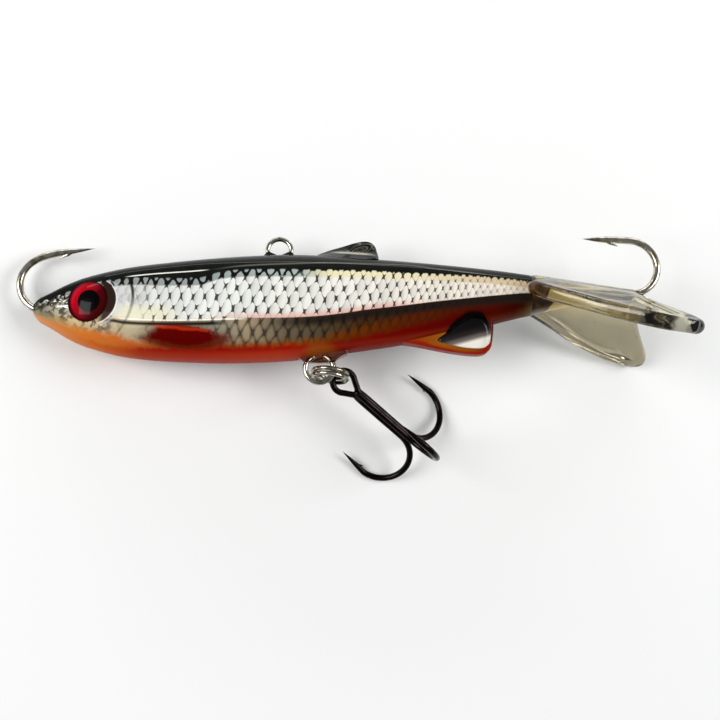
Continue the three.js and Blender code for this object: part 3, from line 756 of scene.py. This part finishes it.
# The line of a painted highlight near the back's crease.
BACK_HIGHLIGHT_LINE = [(0, 2.0), (13.2, 3.12), (16.25, 3.36), (18.9, 3.5), (21.5, 3.64), (24, 3.84), (29, 4.45),
             (35, 4.8), (42, 5.05), (48, 5.05), (54, 4.6), (60, 4.1), (84, 2.2)]
# The top of the painted shadow over the vent fin's scoop.
SCOOP_SHADOW_TOP = [(0, -4.5), (54, -4.5), (55.6, -3.1), (57.4, -1.75), (59.2, -1.15), (60.4, -1.5),
                  (61.2, -2.6), (84, -2.7)]
# The vent fin's free edge.
VENT_FREE_EDGE = [(0, -5.0), (50.6, -5.14), (53.3, -5.68), (56, -6.22), (59.3, -6.6), (60.6, -6.42),
                  (61.6, -5.2), (84, -5.0)]

# The scales: how many lie between the nose and each place, the line that their rows follow, and how
# tall one is. They sway, jostle, lean and fray by parts of a scale. A roundness of 1 gives diamonds
# and 2 gives ovals.
SCALE_COUNT = [(0, 0.0), (6, 5.0), (12, 10.0), (16, 13.1), (20, 15.8), (28, 21.0), (36, 26.2), (42, 30.1),
               (46, 32.9), (50, 36.0), (54, 39.5), (58, 43.4), (62, 47.5), (67, 53.0), (84, 72.0)]
SCALE_ROWS = [(0, -2.2), (13, -2.4), (20, -2.7), (28, -3.0), (36, -3.2), (42, -2.8), (48, -1.7), (54, -0.5),
              (60, 0.4), (67, 1.4), (84, 1.7)]
SCALE_SWAY = 0.42
SCALE_JOSTLE = 0.2
SCALE_LEAN = -0.34
SCALE_ROUNDNESS = 1.55
SCALE_FRAY = 0.2
SCALE_HEIGHT = [(0, 2.3), (14, 2.5), (19, 2.95), (40, 2.95), (46, 2.6), (54, 2.15), (60, 1.8), (67, 1.5),
                (84, 1.4)]

# The colours along the fish: the print's silver side, its top row of scales, and below it the band
# of brown scales, the orange and the red; and the belly's rim, painted lighter as a highlight.
SILVER = [(0, "#A29577"), (9, "#BDB59C"), (13, "#D6D6D2"), (24, "#E6E8E2"), (40, "#EAE7DE"),
          (52, "#EAE2D4"), (60, "#E8DDCD"), (67, "#DACDB8")]
TOP_ROW = [(0, "#8C8A84"), (24, "#6F7C7C"), (36, "#93A09B"), (40, "#E2D8A8"), (50, "#E2D6AE"),
           (58, "#CDB992"), (66, "#B9A27C")]
BROWN_SCALES = [(0, "#8A8062"), (4, "#B49A6C"), (7, "#C9AE80"), (10, "#BCA883"), (15, "#B9AC8C"),
                (19, "#6B6552"), (25, "#8A8573"), (29, "#A08E72"), (34, "#6C5F4A"), (39, "#52432F"),
                (44, "#48290E"), (50, "#42200A"), (58, "#361706"), (63, "#2A1406"), (66, "#2E2416")]
ORANGE = [(0, "#C98A4C"), (8, "#D9792B"), (14, "#C9682A"), (20, "#8A4A22"), (30, "#96551C"),
          (36, "#8A4A10"), (42, "#6E3206"), (50, "#562004"), (58, "#4A1002"), (63, "#3A1606"),
          (66, "#3A2C1C")]
RED = [(0, "#CE6A26"), (5, "#D2520E"), (9, "#B02C00"), (13, "#A01A00"), (17, "#960700"), (26, "#960500"),
       (34, "#A60700"), (42, "#800400"), (50, "#6A0300"), (58, "#4E0300"), (62, "#460A02"),
       (64.6, "#380500"), (65.8, "#3A1604"), (66.8, "#503A20")]
BELLY_RIM_HIGHLIGHT = [(0, "#E09A66"), (9, "#D86A1C"), (15, "#B43002"), (22, "#B02602"), (33, "#BC3402"),
             (42, "#8A1400"), (52, "#861E02"), (60, "#701E04"), (64.4, "#521804"), (65.8, "#5C3818"),
             (66.8, "#74603E")]


def scale_net(tree, mm, x, y):
    """The printed scales: a staggered net of leaning, rounded diamonds, smaller towards the tail. Gives
    how far out in its scale a point is, how far forward or back in it, and a number for each scale."""
    wobble = add(tree, "TexNoise", {"Vector": mm, "Scale": 0.55, "Detail": 1.0})
    sway = add(tree, "Math", [wobble, 0.5], operation="SUBTRACT")
    rise = add(tree, "Math", [y, drawn_line(tree, x, SCALE_ROWS)], operation="SUBTRACT")
    up = add(tree, "Math", [rise, drawn_line(tree, x, SCALE_HEIGHT)], operation="DIVIDE")
    up = add(tree, "Math", [sway, SCALE_SWAY, up], operation="MULTIPLY_ADD")
    jostle = add(tree, "TexNoise", {"Vector": mm, "Scale": 0.9, "Detail": 0.0})
    count = drawn_line(tree, x, SCALE_COUNT)
    count = add(tree, "Math", [jostle, SCALE_JOSTLE, count], operation="MULTIPLY_ADD")
    leant = add(tree, "Math", [up, SCALE_LEAN, count], operation="MULTIPLY_ADD")
    forward = add(tree, "Math", [leant, up], operation="ADD")
    backward = add(tree, "Math", [leant, up], operation="SUBTRACT")
    cell_f = add(tree, "Math", [forward], operation="FLOOR")
    cell_b = add(tree, "Math", [backward], operation="FLOOR")
    chance = add(tree, "TexWhiteNoise", {"Vector": add(tree, "CombineXYZ", [cell_f, cell_b])},
                 noise_dimensions="3D")
    in_f = add(tree, "Math", [forward, cell_f], operation="SUBTRACT")
    in_b = add(tree, "Math", [backward, cell_b], operation="SUBTRACT")
    across = add(tree, "Math", [in_f, in_b], operation="ADD")
    across = add(tree, "Math", [across, 1.0], operation="SUBTRACT")
    upright = add(tree, "Math", [in_f, in_b], operation="SUBTRACT")
    parts = []
    for way in (across, upright):
        far = add(tree, "Math", [way], operation="ABSOLUTE")
        parts.append(add(tree, "Math", [far, SCALE_ROUNDNESS], operation="POWER"))
    out = add(tree, "Math", [parts[0], parts[1]], operation="ADD")
    ragged = add(tree, "TexNoise", {"Vector": mm, "Scale": 3.2, "Detail": 2.0})
    out = add(tree, "Math", [ragged, SCALE_FRAY, out], operation="MULTIPLY_ADD")
    return out, across, chance.outputs["Value"]


def shadow_over_scoop(tree, x, y):
    """A painted black shadow that runs out over the upper edge of the vent fin's scoop."""
    under = add(tree, "Math", [drawn_line(tree, x, SCOOP_SHADOW_TOP), y], operation="SUBTRACT")
    return overlap(tree, (under, -0.3, 0.25), span(tree, x, 54.6, 60.7, 0.4))


def printed_foil(name, gloss):
    """Foil printed in ink and sealed under clear acrylic: matt silver scales and glowing reds below a
    thin gloss, and a back so black that it only mirrors the lights."""
    made, tree, shader = blank_material(name)
    mm, x, y = fish_axes(tree)[:3]
    over_top, above_belly, from_highlight_line = [
        add(tree, "Math", [y, drawn_line(tree, x, edge)], operation="SUBTRACT")
        for edge in (FOIL_TOP, BELLY_EDGE, BACK_HIGHLIGHT_LINE)]
    below, below_grey, below_red = [
        add(tree, "Math", [drawn_line(tree, x, edge), y], operation="SUBTRACT")
        for edge in (SILVER_LOW, GREY_LOW, RED_LOW)]
    mottle = add(tree, "TexNoise", {"Vector": mm, "Scale": 1.1, "Detail": 4.0, "Roughness": 0.65})
    rough_edge = add(tree, "Math", [mottle, 0.5], operation="SUBTRACT")
    out, across, chance = scale_net(tree, mm, x, y)

    # The silver side: cool white scales, each painted darker towards the nose as painted shade, a darker
    # row below the back, pink by the lower edge and a cream cheek.
    cream = overlap(tree, span(tree, x, 12.0, 19.5, 2.2), (below, -2.2, -1.1))
    colour = inked(tree, along_fish(tree, x, SILVER),
                   ("#A3A5A2", chance, 0.3),
                   ("#9C988F", (across, 0.1, -0.9), 0.55),
                   (along_fish(tree, x, TOP_ROW), span(tree, over_top, -1.05, 0.4, 0.12), 0.8),
                   ("#14130F", (out, 0.50, 0.64), span(tree, over_top, -0.95, 0.4, 0.15), (x, 38.5, 35.0)),
                   ("#E08C78", span(tree, x, 27.0, 51.0, 5.0), (below, -1.0, -0.1), 0.55),
                   ("#DCD8BE", cream))

    # Below the side: brown scales, then orange and red ink down to the belly's rim, which is painted
    # lighter as a highlight. Along the top runs a painted shadow line, and on the cheek a painted
    # highlight along the flank crease with a line of painted shade just below it.
    smudge = overlap(tree, (out, 0.3, 0.85), (x, 22.0, 29.0), 0.55)
    scales = inked(tree, along_fish(tree, x, BROWN_SCALES), ("#1B1812", smudge))
    orange = inked(tree, along_fish(tree, x, ORANGE), ("#2A1206", smudge, 0.55))
    to_orange = add(tree, "Math", [rough_edge, 1.6, below_grey], operation="MULTIPLY_ADD")
    to_red = add(tree, "Math", [rough_edge, 1.2, below_red], operation="MULTIPLY_ADD")
    lower = inked(tree, scales,
                  (orange, (to_orange, -0.55, 0.45)),
                  (along_fish(tree, x, RED), (to_red, -0.5, 0.5)),
                  (along_fish(tree, x, BELLY_RIM_HIGHLIGHT), (above_belly, 1.1, 0.25)),
                  ("#1C1714", span(tree, below, -0.1, 1.15, 0.5), (x, 29.0, 38.0), 0.9),
                  ("#1E1D16", span(tree, below, 0.42, 0.85, 0.16), span(tree, x, 10.5, 26.0, 1.5)))
    is_low = overlap(tree, (below, -0.06, 0.06))
    colour = inked(tree, colour,
                   (lower, is_low),
                   ("#FBF1DC", span(tree, below, 0.02, 0.24, 0.08), span(tree, x, 12.5, 28.5, 1.2)))

    # Snout and cheek: blotched gold and silver with dark flecks, darker towards the nose tip, and painted
    # white glints on the snout.
    snout = overlap(tree, (x, 10.5, 8.0))
    darker = add(tree, "MapRange", [x, 8.0, 4.0, 0.0, 0.07])
    flecked = add(tree, "Math", [mottle, darker], operation="ADD")
    fleck_side = add(tree, "Math", [snout, is_low], operation="MAXIMUM")
    fleck_side = add(tree, "Math", [fleck_side, 0.25], operation="MAXIMUM")
    off_jaw = overlap(tree, (below_red, -1.1, -2.4))
    calm = add(tree, "Math", [1.0, overlap(tree, (x, 17.0, 14.5), cream)], operation="SUBTRACT")
    combed = add(tree, "Mapping", {"Vector": mm, "Rotation": (0.0, 0.0, -0.5), "Scale": (0.5, 1.5, 1.0)})
    glint_streaks = add(tree, "TexNoise", {"Vector": combed, "Scale": 1.5, "Detail": 3.0, "Roughness": 0.6})
    colour = inked(tree, colour,
                   ("#2B271B", (flecked, 0.49, 0.60), fleck_side, (x, 19.0, 11.5), off_jaw, calm, 0.85),
                   ("#FAF9F6", (glint_streaks, 0.53, 0.60), snout, (below, -0.4, -1.2)),
                   ("#3A3422", (x, 3.6, 0.8), off_jaw, 0.75))

    # The net of dark lines between the scales, with a wedge where they meet.
    in_band = add(tree, "Math", [is_low, -0.35, 1.0], operation="MULTIPLY_ADD")
    colour = inked(tree, colour, ("#15110D", (out, 0.73, 0.84), (x, 12.5, 18.0), (x, 54.0, 63.5, 1.0, 0.45),
                                  (below_grey, 0.9, -0.3), calm, in_band, 0.93))

    # The gill's dark arc, and the red patch behind it with a painted highlight along its upper edge.
    bow = add(tree, "Math", [y, 0.2], operation="SUBTRACT")
    bow = add(tree, "Math", [bow, 2.0], operation="POWER")
    gill_x = add(tree, "Math", [bow, 0.095, x], operation="MULTIPLY_ADD")
    patch = from_spot(tree, mm, (20.9, -4.8), (4.7, 1.2), -0.05)
    patch = add(tree, "Math", [patch, 2.6], operation="POWER")
    patch = add(tree, "Math", [rough_edge, 1.5, patch], operation="MULTIPLY_ADD")
    patch_highlight_edge = add(tree, "Math", [x, 0.09, y], operation="MULTIPLY_ADD")
    patch_highlight_edge = add(tree, "Math", [rough_edge, 0.5, patch_highlight_edge], operation="MULTIPLY_ADD")
    colour = inked(tree, colour,
                   ("#16130F", span(tree, gill_x, 14.1, 14.5, 0.13), span(tree, y, -4.4, 3.2, 0.3),
                    (y, -1.5, 1.0, 0.45, 0.95)),
                   ("#5E1400", (patch, 2.9, 1.3), (y, -4.3, -5.2, 0.15, 0.9)),
                   ("#5A0100", (patch, 1.35, 0.5)),
                   ("#C2320C", span(tree, patch_highlight_edge, -2.3, -1.95, 0.16), span(tree, x, 17.3, 24.2, 0.9),
                    0.7))

    # Behind the eye, the clear rim of its seat, painted: a dark crescent of painted shade with a painted
    # white highlight along its edge and a fainter lavender painted reflection outside it.
    seat = from_spot(tree, mm, (9.1, -0.02), (1.0, 1.0))
    behind = overlap(tree, (x, 9.3, 10.5))
    colour = inked(tree, colour,
                   ("#2B1C18", (seat, 3.02, 2.9), behind),
                   ("#C9CAE2", span(tree, seat, 3.34, 3.6, 0.12), behind, 0.35),
                   ("#F8F8FF", span(tree, seat, 3.06, 3.12, 0.04), behind))

    # The black back comes down over the foil with a ragged edge. Over it go a painted warm glow in the
    # lug, the painted black shadow over the vent fin's scoop, and a painted highlight line near the
    # back's crease, bright at the head and fainter behind it.
    bite = add(tree, "MapRange", [out, 0.4, 0.9, 0.0, 0.3])
    back_edge = add(tree, "Math", [rough_edge, 0.4, over_top], operation="MULTIPLY_ADD")
    back_edge = add(tree, "Math", [back_edge, bite], operation="ADD")
    is_back = overlap(tree, (back_edge, -0.12, 0.1))
    smoke = add(tree, "TexNoise", {"Vector": mm, "Scale": 0.6, "Detail": 2.0})
    lug = from_spot(tree, mm, (38.7, -6.7), (2.7, 1.5))
    colour = inked(tree, colour,
                   (inked(tree, "#0B0C0B", ("#1C1E1A", smoke)), is_back),
                   ("#9A5210", (lug, 1.1, 0.3), 0.75),
                   (SCOOP_SHADOW, shadow_over_scoop(tree, x, y)),
                   ("#F4F2E8", span(tree, from_highlight_line, -0.07, 0.07, 0.05), span(tree, x, 13.6, 23.6, 0.8)),
                   ("#6E6D62", span(tree, from_highlight_line, -0.09, 0.09, 0.1), span(tree, x, 26.5, 60.0, 3.0), 0.75))

    shiny = add(tree, "Math", [1.0, is_back], operation="SUBTRACT")
    metal = add(tree, "Math", [shiny, 0.06], operation="MULTIPLY")
    relief = add(tree, "Math", [out, -1.0], operation="MULTIPLY")
    stamped = add(tree, "Bump", {"Strength": 0.25, "Distance": 0.06 * MM, "Height": relief})
    feed(tree, shader, {"Base Color": colour, "Metallic": metal, "Roughness": 0.42, "Normal": stamped,
                        "Specular IOR Level": 0.01, "Coat Weight": gloss, **ACRYLIC_COAT})
    return made


def clear_acrylic():
    """Moulded acrylic, faintly smoked: see-through with sharp edges of light, darker where it is thick, with
    painted light and shade on the tail lobes.
    """
    made, tree, shader = blank_material("clear_smoked_acrylic")
    mm, x, y, z = fish_axes(tree)
    near_side = along_fish(tree, x, [(30, "#EADFCB"), (50, "#EADFCB"), (60, "#A8843C"), (68, "#A8873F"),
                                     (70.5, "#BBA05C"), (73, "#CBBA88"), (78, "#D2C69E"), (84, "#DCD6BC"),
                                     (87, "#E0DCC8")])
    # The far lobe is tinted darker and cloudier as painted shade, and is specked.
    far_side = overlap(tree, (z, -2.0, -5.0))
    cloud = add(tree, "TexNoise", {"Vector": mm, "Scale": 0.35, "Detail": 2.0})
    speck = add(tree, "TexNoise", {"Vector": mm, "Scale": 3.0, "Detail": 1.0})
    speck = add(tree, "MapRange", [speck, 0.74, 0.78])
    # On the near lobe's edge, seen end on, what shows through it is painted in: a dull amber band, a
    # pale patch of painted light, then a black corner of painted shade, each less see-through.
    wander = add(tree, "TexNoise", {"Vector": mm, "Scale": 0.9, "Detail": 2.0})
    wander = add(tree, "Math", [wander, 0.5], operation="SUBTRACT")
    edge_x = add(tree, "Math", [wander, 2.2, x], operation="MULTIPLY_ADD")
    end_side = overlap(tree, (z, 10.0, 11.0))
    amber = overlap(tree, span(tree, edge_x, 74.4, 78.2, 0.6), (z, 8.6, 9.6))
    pale_painted_light = overlap(tree, span(tree, edge_x, 82.0, 83.7, 0.6), end_side)
    dark_painted_corner = overlap(tree, (edge_x, 83.5, 84.1), end_side)
    tint = inked(tree, near_side,
                 (inked(tree, "#A1977A", ("#B5AB8C", cloud)), far_side),
                 ("#3C3626", speck, far_side),
                 ("#86734A", amber),
                 ("#D0CCB8", pale_painted_light),
                 ("#15130C", dark_painted_corner))
    painted_opacity = add(tree, "Math", [amber, 0.5], operation="MULTIPLY")
    painted_opacity = add(tree, "Math", [pale_painted_light, 0.65, painted_opacity], operation="MULTIPLY_ADD")
    painted_opacity = add(tree, "Math", [dark_painted_corner, 0.85, painted_opacity], operation="MULTIPLY_ADD")
    painted_opacity = add(tree, "Math", [painted_opacity, 0.9], operation="MINIMUM")
    passed = add(tree, "Math", [1.0, painted_opacity], operation="SUBTRACT")
    feed(tree, shader, {"Base Color": tint, "Roughness": 0.06, "IOR": 1.49, "Transmission Weight": passed})
    return made


def black_acrylic():
    """The back fin: the same acrylic over black ink, with a deep wet shine, and painted highlights: rings in
    its scoop and a line along its foot.
    """
    made, tree, shader = blank_material("black_glossy_acrylic")
    mm, x, y = fish_axes(tree)[:3]
    smoke = add(tree, "TexNoise", {"Vector": mm, "Scale": 1.2, "Detail": 2.0})
    from_foot = add(tree, "Math", [y, drawn_line(tree, x, BACK)], operation="SUBTRACT")
    # Painted highlight rings in the scoop, and a painted highlight line along the fin's foot.
    rings = from_spot(tree, mm, (43.9, 7.95), (1.9, 0.62), 0.3)
    colour = inked(tree, "#0C0D0C",
                   ("#22241F", smoke),
                   *[(highlight_colour, span(tree, rings, edge - 0.09, edge + 0.03, 0.07), 0.8)
                     for edge, highlight_colour in ((0.95, "#77766A"), (0.6, "#7E7D70"), (0.3, "#5A594E"))],
                   ("#A8A494", span(tree, from_foot, 0.15, 0.5, 0.1), span(tree, x, 40.5, 45.4, 1.0)))
    feed(tree, shader, {"Base Color": colour, "Roughness": 0.2, "Specular IOR Level": 0.08,
                        "Coat Weight": 0.3, **ACRYLIC_COAT})
    return made


def vent_fin_ink():
    """The vent fin's rim: orange ink glowing through the acrylic, red along the free edge."""
    made, tree, shader = blank_material("orange_ink_in_acrylic")
    x, y = fish_axes(tree)[1:3]
    inside = add(tree, "Math", [y, drawn_line(tree, x, VENT_FREE_EDGE)], operation="SUBTRACT")
    orange = along_fish(tree, x, [(46, "#7E1002"), (51, "#8A3606"), (55, "#92540E"), (59, "#86440E"),
                                  (60.8, "#701408"), (62, "#4A0A08")])
    # Darker towards the foot, and the painted shadow over the scoop runs onto it.
    colour = inked(tree, orange,
                   ("#961602", (inside, 0.55, 0.12)),
                   ("#4A1206", (y, -3.6, -2.2)),
                   (SCOOP_SHADOW, shadow_over_scoop(tree, x, y), (y, -4.6, -3.9)))
    feed(tree, shader, {"Base Color": colour, "Roughness": 0.35, "Specular IOR Level": 0.03,
                        "Coat Weight": 0.13, **ACRYLIC_COAT})
    return made


def vent_scoop_shading():
    """The floor of the vent fin's scoop: painted shade, black above, with a painted white highlight at the
    lower corner.
    """
    made, tree, shader = blank_material("black_and_silver_ink_in_acrylic")
    x, y = fish_axes(tree)[1:3]
    fall = add(tree, "Math", [x, -0.28, y], operation="MULTIPLY_ADD")
    share = add(tree, "MapRange", [fall, -22.6, -18.2])
    colour = add(tree, "ValToRGB", [share], stops=[(0.0, "#F4EEE4"), (0.28, "#F2EBE0"), (0.38, "#7A706A"),
                                                      (0.54, "#2A2223"), (0.72, "#0A0706"), (1.0, "#050403")])
    feed(tree, shader, {"Base Color": colour, "Roughness": 0.3, "Specular IOR Level": 0.1, "Coat Weight": 0.3,
                        **ACRYLIC_COAT})
    return made


def eye_enamel():
    """Candy-red enamel below a clear dome, with painted light: bright towards the nose and the back, nearly
    black on the far side.
    """
    made, tree, shader = blank_material("candy_red_eye_enamel")
    mm, x, y = fish_axes(tree)[:3]
    from_x = add(tree, "Math", [x, EYE_AT[0] + 0.12], operation="SUBTRACT")
    from_y = add(tree, "Math", [y, EYE_AT[1]], operation="SUBTRACT")
    spot = add(tree, "CombineXYZ", [from_x, from_y])
    far = add(tree, "VectorMath", [spot], operation="LENGTH").outputs["Value"]
    painted_light = add(tree, "VectorMath", [spot, (-0.6, 0.3, 0.0)], operation="DOT_PRODUCT").outputs["Value"]
    cloud = add(tree, "TexNoise", {"Vector": mm, "Scale": 1.6, "Detail": 3.0})
    painted_light = add(tree, "Math", [cloud, 0.9, painted_light], operation="MULTIPLY_ADD")
    share = add(tree, "MapRange", [painted_light, -0.9, 1.9])
    reds = add(tree, "ValToRGB", [share], stops=[(0.0, "#3C0202"), (0.3, "#440005"), (0.55, "#860010"),
                                                    (0.8, "#A20015"), (1.0, "#BC0020")])
    colour = inked(tree, reds,
                   ("#300204", (far, 2.3, 2.62), 0.8),
                   ("#020101", (far, 1.56, 1.42)))
    feed(tree, shader, {"Base Color": colour, "Roughness": 0.3, "Specular IOR Level": 0.03,
                        "Coat Weight": 0.12, "Coat Roughness": 0.02, "Coat IOR": 1.5})
    return made


def plated_wire(name, colour, worn, roughness):
    """Plated steel wire: the plating's own tint, a little uneven where it was drawn and tumbled."""
    made, tree, shader = blank_material(name)
    mm = fish_axes(tree)[0]
    patches = add(tree, "TexNoise", {"Vector": mm, "Scale": 0.8, "Detail": 3.0, "Roughness": 0.6})
    grain = add(tree, "TexNoise", {"Vector": mm, "Scale": 9.0, "Detail": 2.0})
    dull = add(tree, "MapRange", [patches, 0.3, 0.7, roughness * 0.8, roughness * 1.35])
    fine = add(tree, "Bump", {"Strength": 0.12, "Distance": 0.03 * MM, "Height": grain})
    feed(tree, shader, {"Base Color": inked(tree, colour, (worn, (patches, 0.4, 0.68))), "Metallic": 1.0,
                        "Roughness": dull, "Normal": fine})
    return made


# Bronze-nickel plating: warm grey, half polished. Bright nickel: nearly white mirror.
# Black nickel: a dark brown-grey mirror.
bronze_nickel = plated_wire("bronze_nickel_plating", "#CFC8BA", "#8A8068", roughness=0.13)
bright_nickel = plated_wire("bright_nickel_plating", "#C2BFB2", "#86816F", roughness=0.16)
black_nickel = plated_wire("black_nickel_plating", "#241E1B", "#16110F", roughness=0.2)
# The same print below a thin gloss on the sides, and below a deeper one on the back, which mirrors
# the lights.
foil_print = printed_foil("printed_foil_under_clear_acrylic", gloss=0.07)
back_print = printed_foil("black_back_under_clear_acrylic", gloss=0.42)
clear_plastic = clear_acrylic()
fin_plastic = black_acrylic()
vent_ink = vent_fin_ink()
scoop_shading = vent_scoop_shading()
eye_paint = eye_enamel()
# The core's bare metal where its print ends: dull, brown and oxidised.
core_metal = plated_wire("dark_oxidised_core", "#7A6230", "#463514", roughness=0.5)

# The pieces.

moulding = make_moulding()
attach(moulding, "root")
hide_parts("clear_body")

for core in (make_core("core_above_the_lug", 33.5, 44.5, foil_print, shrink=0.1),
             make_core("core_end", 62.4, CORE_END, foil_print, shrink=0.1),
             make_core("core_tongue", 66.0, 70.6, core_metal, shrink=0.7, point=1.2)):
    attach(core, "root")

for eye_name, side in (("left_eye", 1), ("right_eye", -1)):
    made_eye = eye_solid(eye_name + "_dome", side, EYE_RADIUS, depth=1.9, dome=EYE_DOME)
    to_table_top(made_eye)
    smooth(made_eye)
    made_eye.data.materials.append(eye_paint)
    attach(made_eye, "root")
    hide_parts(eye_name)

wires = [
    (fixed_hook("nose_hook_wire", NOSE_HOOK, math.pi, -1, bronze_nickel), "nose_hook", "bronze_nickel"),
    (fixed_hook("tail_hook_wire", TAIL_HOOK, RIDGE_SLOPE, 1, bronze_nickel), "tail_hook", "bronze_nickel"),
    (leg_loop("line_tie_wire", TIE_LOOP, TIE_WIRE, -1, bright_nickel), "line_tie", "nickel"),
    (leg_loop("belly_loop_wire", BELLY_LOOP, BELLY_WIRE, 1, bright_nickel), "belly_loop", "nickel"),
    (split_ring("split_ring_wire", bright_nickel), "split_ring", "nickel"),
    (treble_hook("treble_hook_wire", black_nickel), "treble_hook", "black_nickel"),
]
for obj, node, slot_name in wires:
    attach(obj, "root")
    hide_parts(node)

# The floor, the light and the camera.

FLOOR_HALF = 2
floor_mesh = bpy.data.meshes.new("floor")
floor_mesh.from_pydata([(-FLOOR_HALF, -FLOOR_HALF, 0), (FLOOR_HALF, -FLOOR_HALF, 0),
                        (FLOOR_HALF, FLOOR_HALF, 0), (-FLOOR_HALF, FLOOR_HALF, 0)], [], [(0, 1, 2, 3)])
paper, paper_tree, paper_shader = blank_material("white_paper")
feed(paper_tree, paper_shader, {"Base Color": linear("#F2F2F0"), "Roughness": 0.9})
floor_mesh.materials.append(paper)
in_scene("floor", floor_mesh)


def softbox(name, at, aim, size, power):
    """A white panel of light at a place, facing another one."""
    light = bpy.data.lights.new(name, "AREA")
    light.shape = "RECTANGLE"
    light.size, light.size_y = size
    light.energy = power
    way = Vector(aim) - Vector(at)
    turn = way.to_track_quat("-Z", "Y").to_matrix().to_4x4()
    in_scene(name, light).matrix_world = Matrix.Translation(at) @ turn


softbox("left_softbox", (-0.46, 0.06, 0.42), aim=(0, 0, 0), size=(0.34, 0.34), power=2.8)
softbox("right_softbox", (0.50, 0.08, 0.42), aim=(0, 0, 0), size=(0.34, 0.34), power=2.8)
softbox("back_strip", (0.0, 0.60, 0.16), aim=(0, 0, 0.01), size=(0.9, 0.06), power=1.4)

world = bpy.data.worlds.new("studio")
world.use_nodes = True
feed(world.node_tree, world.node_tree.nodes["Background"], {"Color": (0.9, 0.95, 1.0, 1), "Strength": 0.22})
bpy.context.scene.world = world
bpy.context.scene.view_settings.view_transform = "Standard"

CAMERA_AIM = Vector((1.485, -0.056, 9.105)) * MM
CAMERA_DISTANCE = 0.130
CAMERA_LEFT = 8 * DEG
CAMERA_FRONT = 1.5 * DEG

camera = bpy.data.cameras.new("photo_camera")
camera.lens = 48.52
camera.sensor_width = 36.0
camera.clip_start = 0.005
camera.clip_end = 10
lean = Vector((-math.sin(CAMERA_LEFT), -math.sin(CAMERA_FRONT), 0))
lean.z = math.sqrt(1 - lean.x ** 2 - lean.y ** 2)
side_way = (-lean).cross(Vector((0, 1, 0))).normalized()
up_way = side_way.cross(-lean)
photo_camera = in_scene("photo_camera", camera)
photo_camera.matrix_world = (Matrix.Translation(CAMERA_AIM + lean * CAMERA_DISTANCE)
                             @ Matrix((side_way, up_way, lean)).transposed().to_4x4())
bpy.context.scene.camera = photo_camera
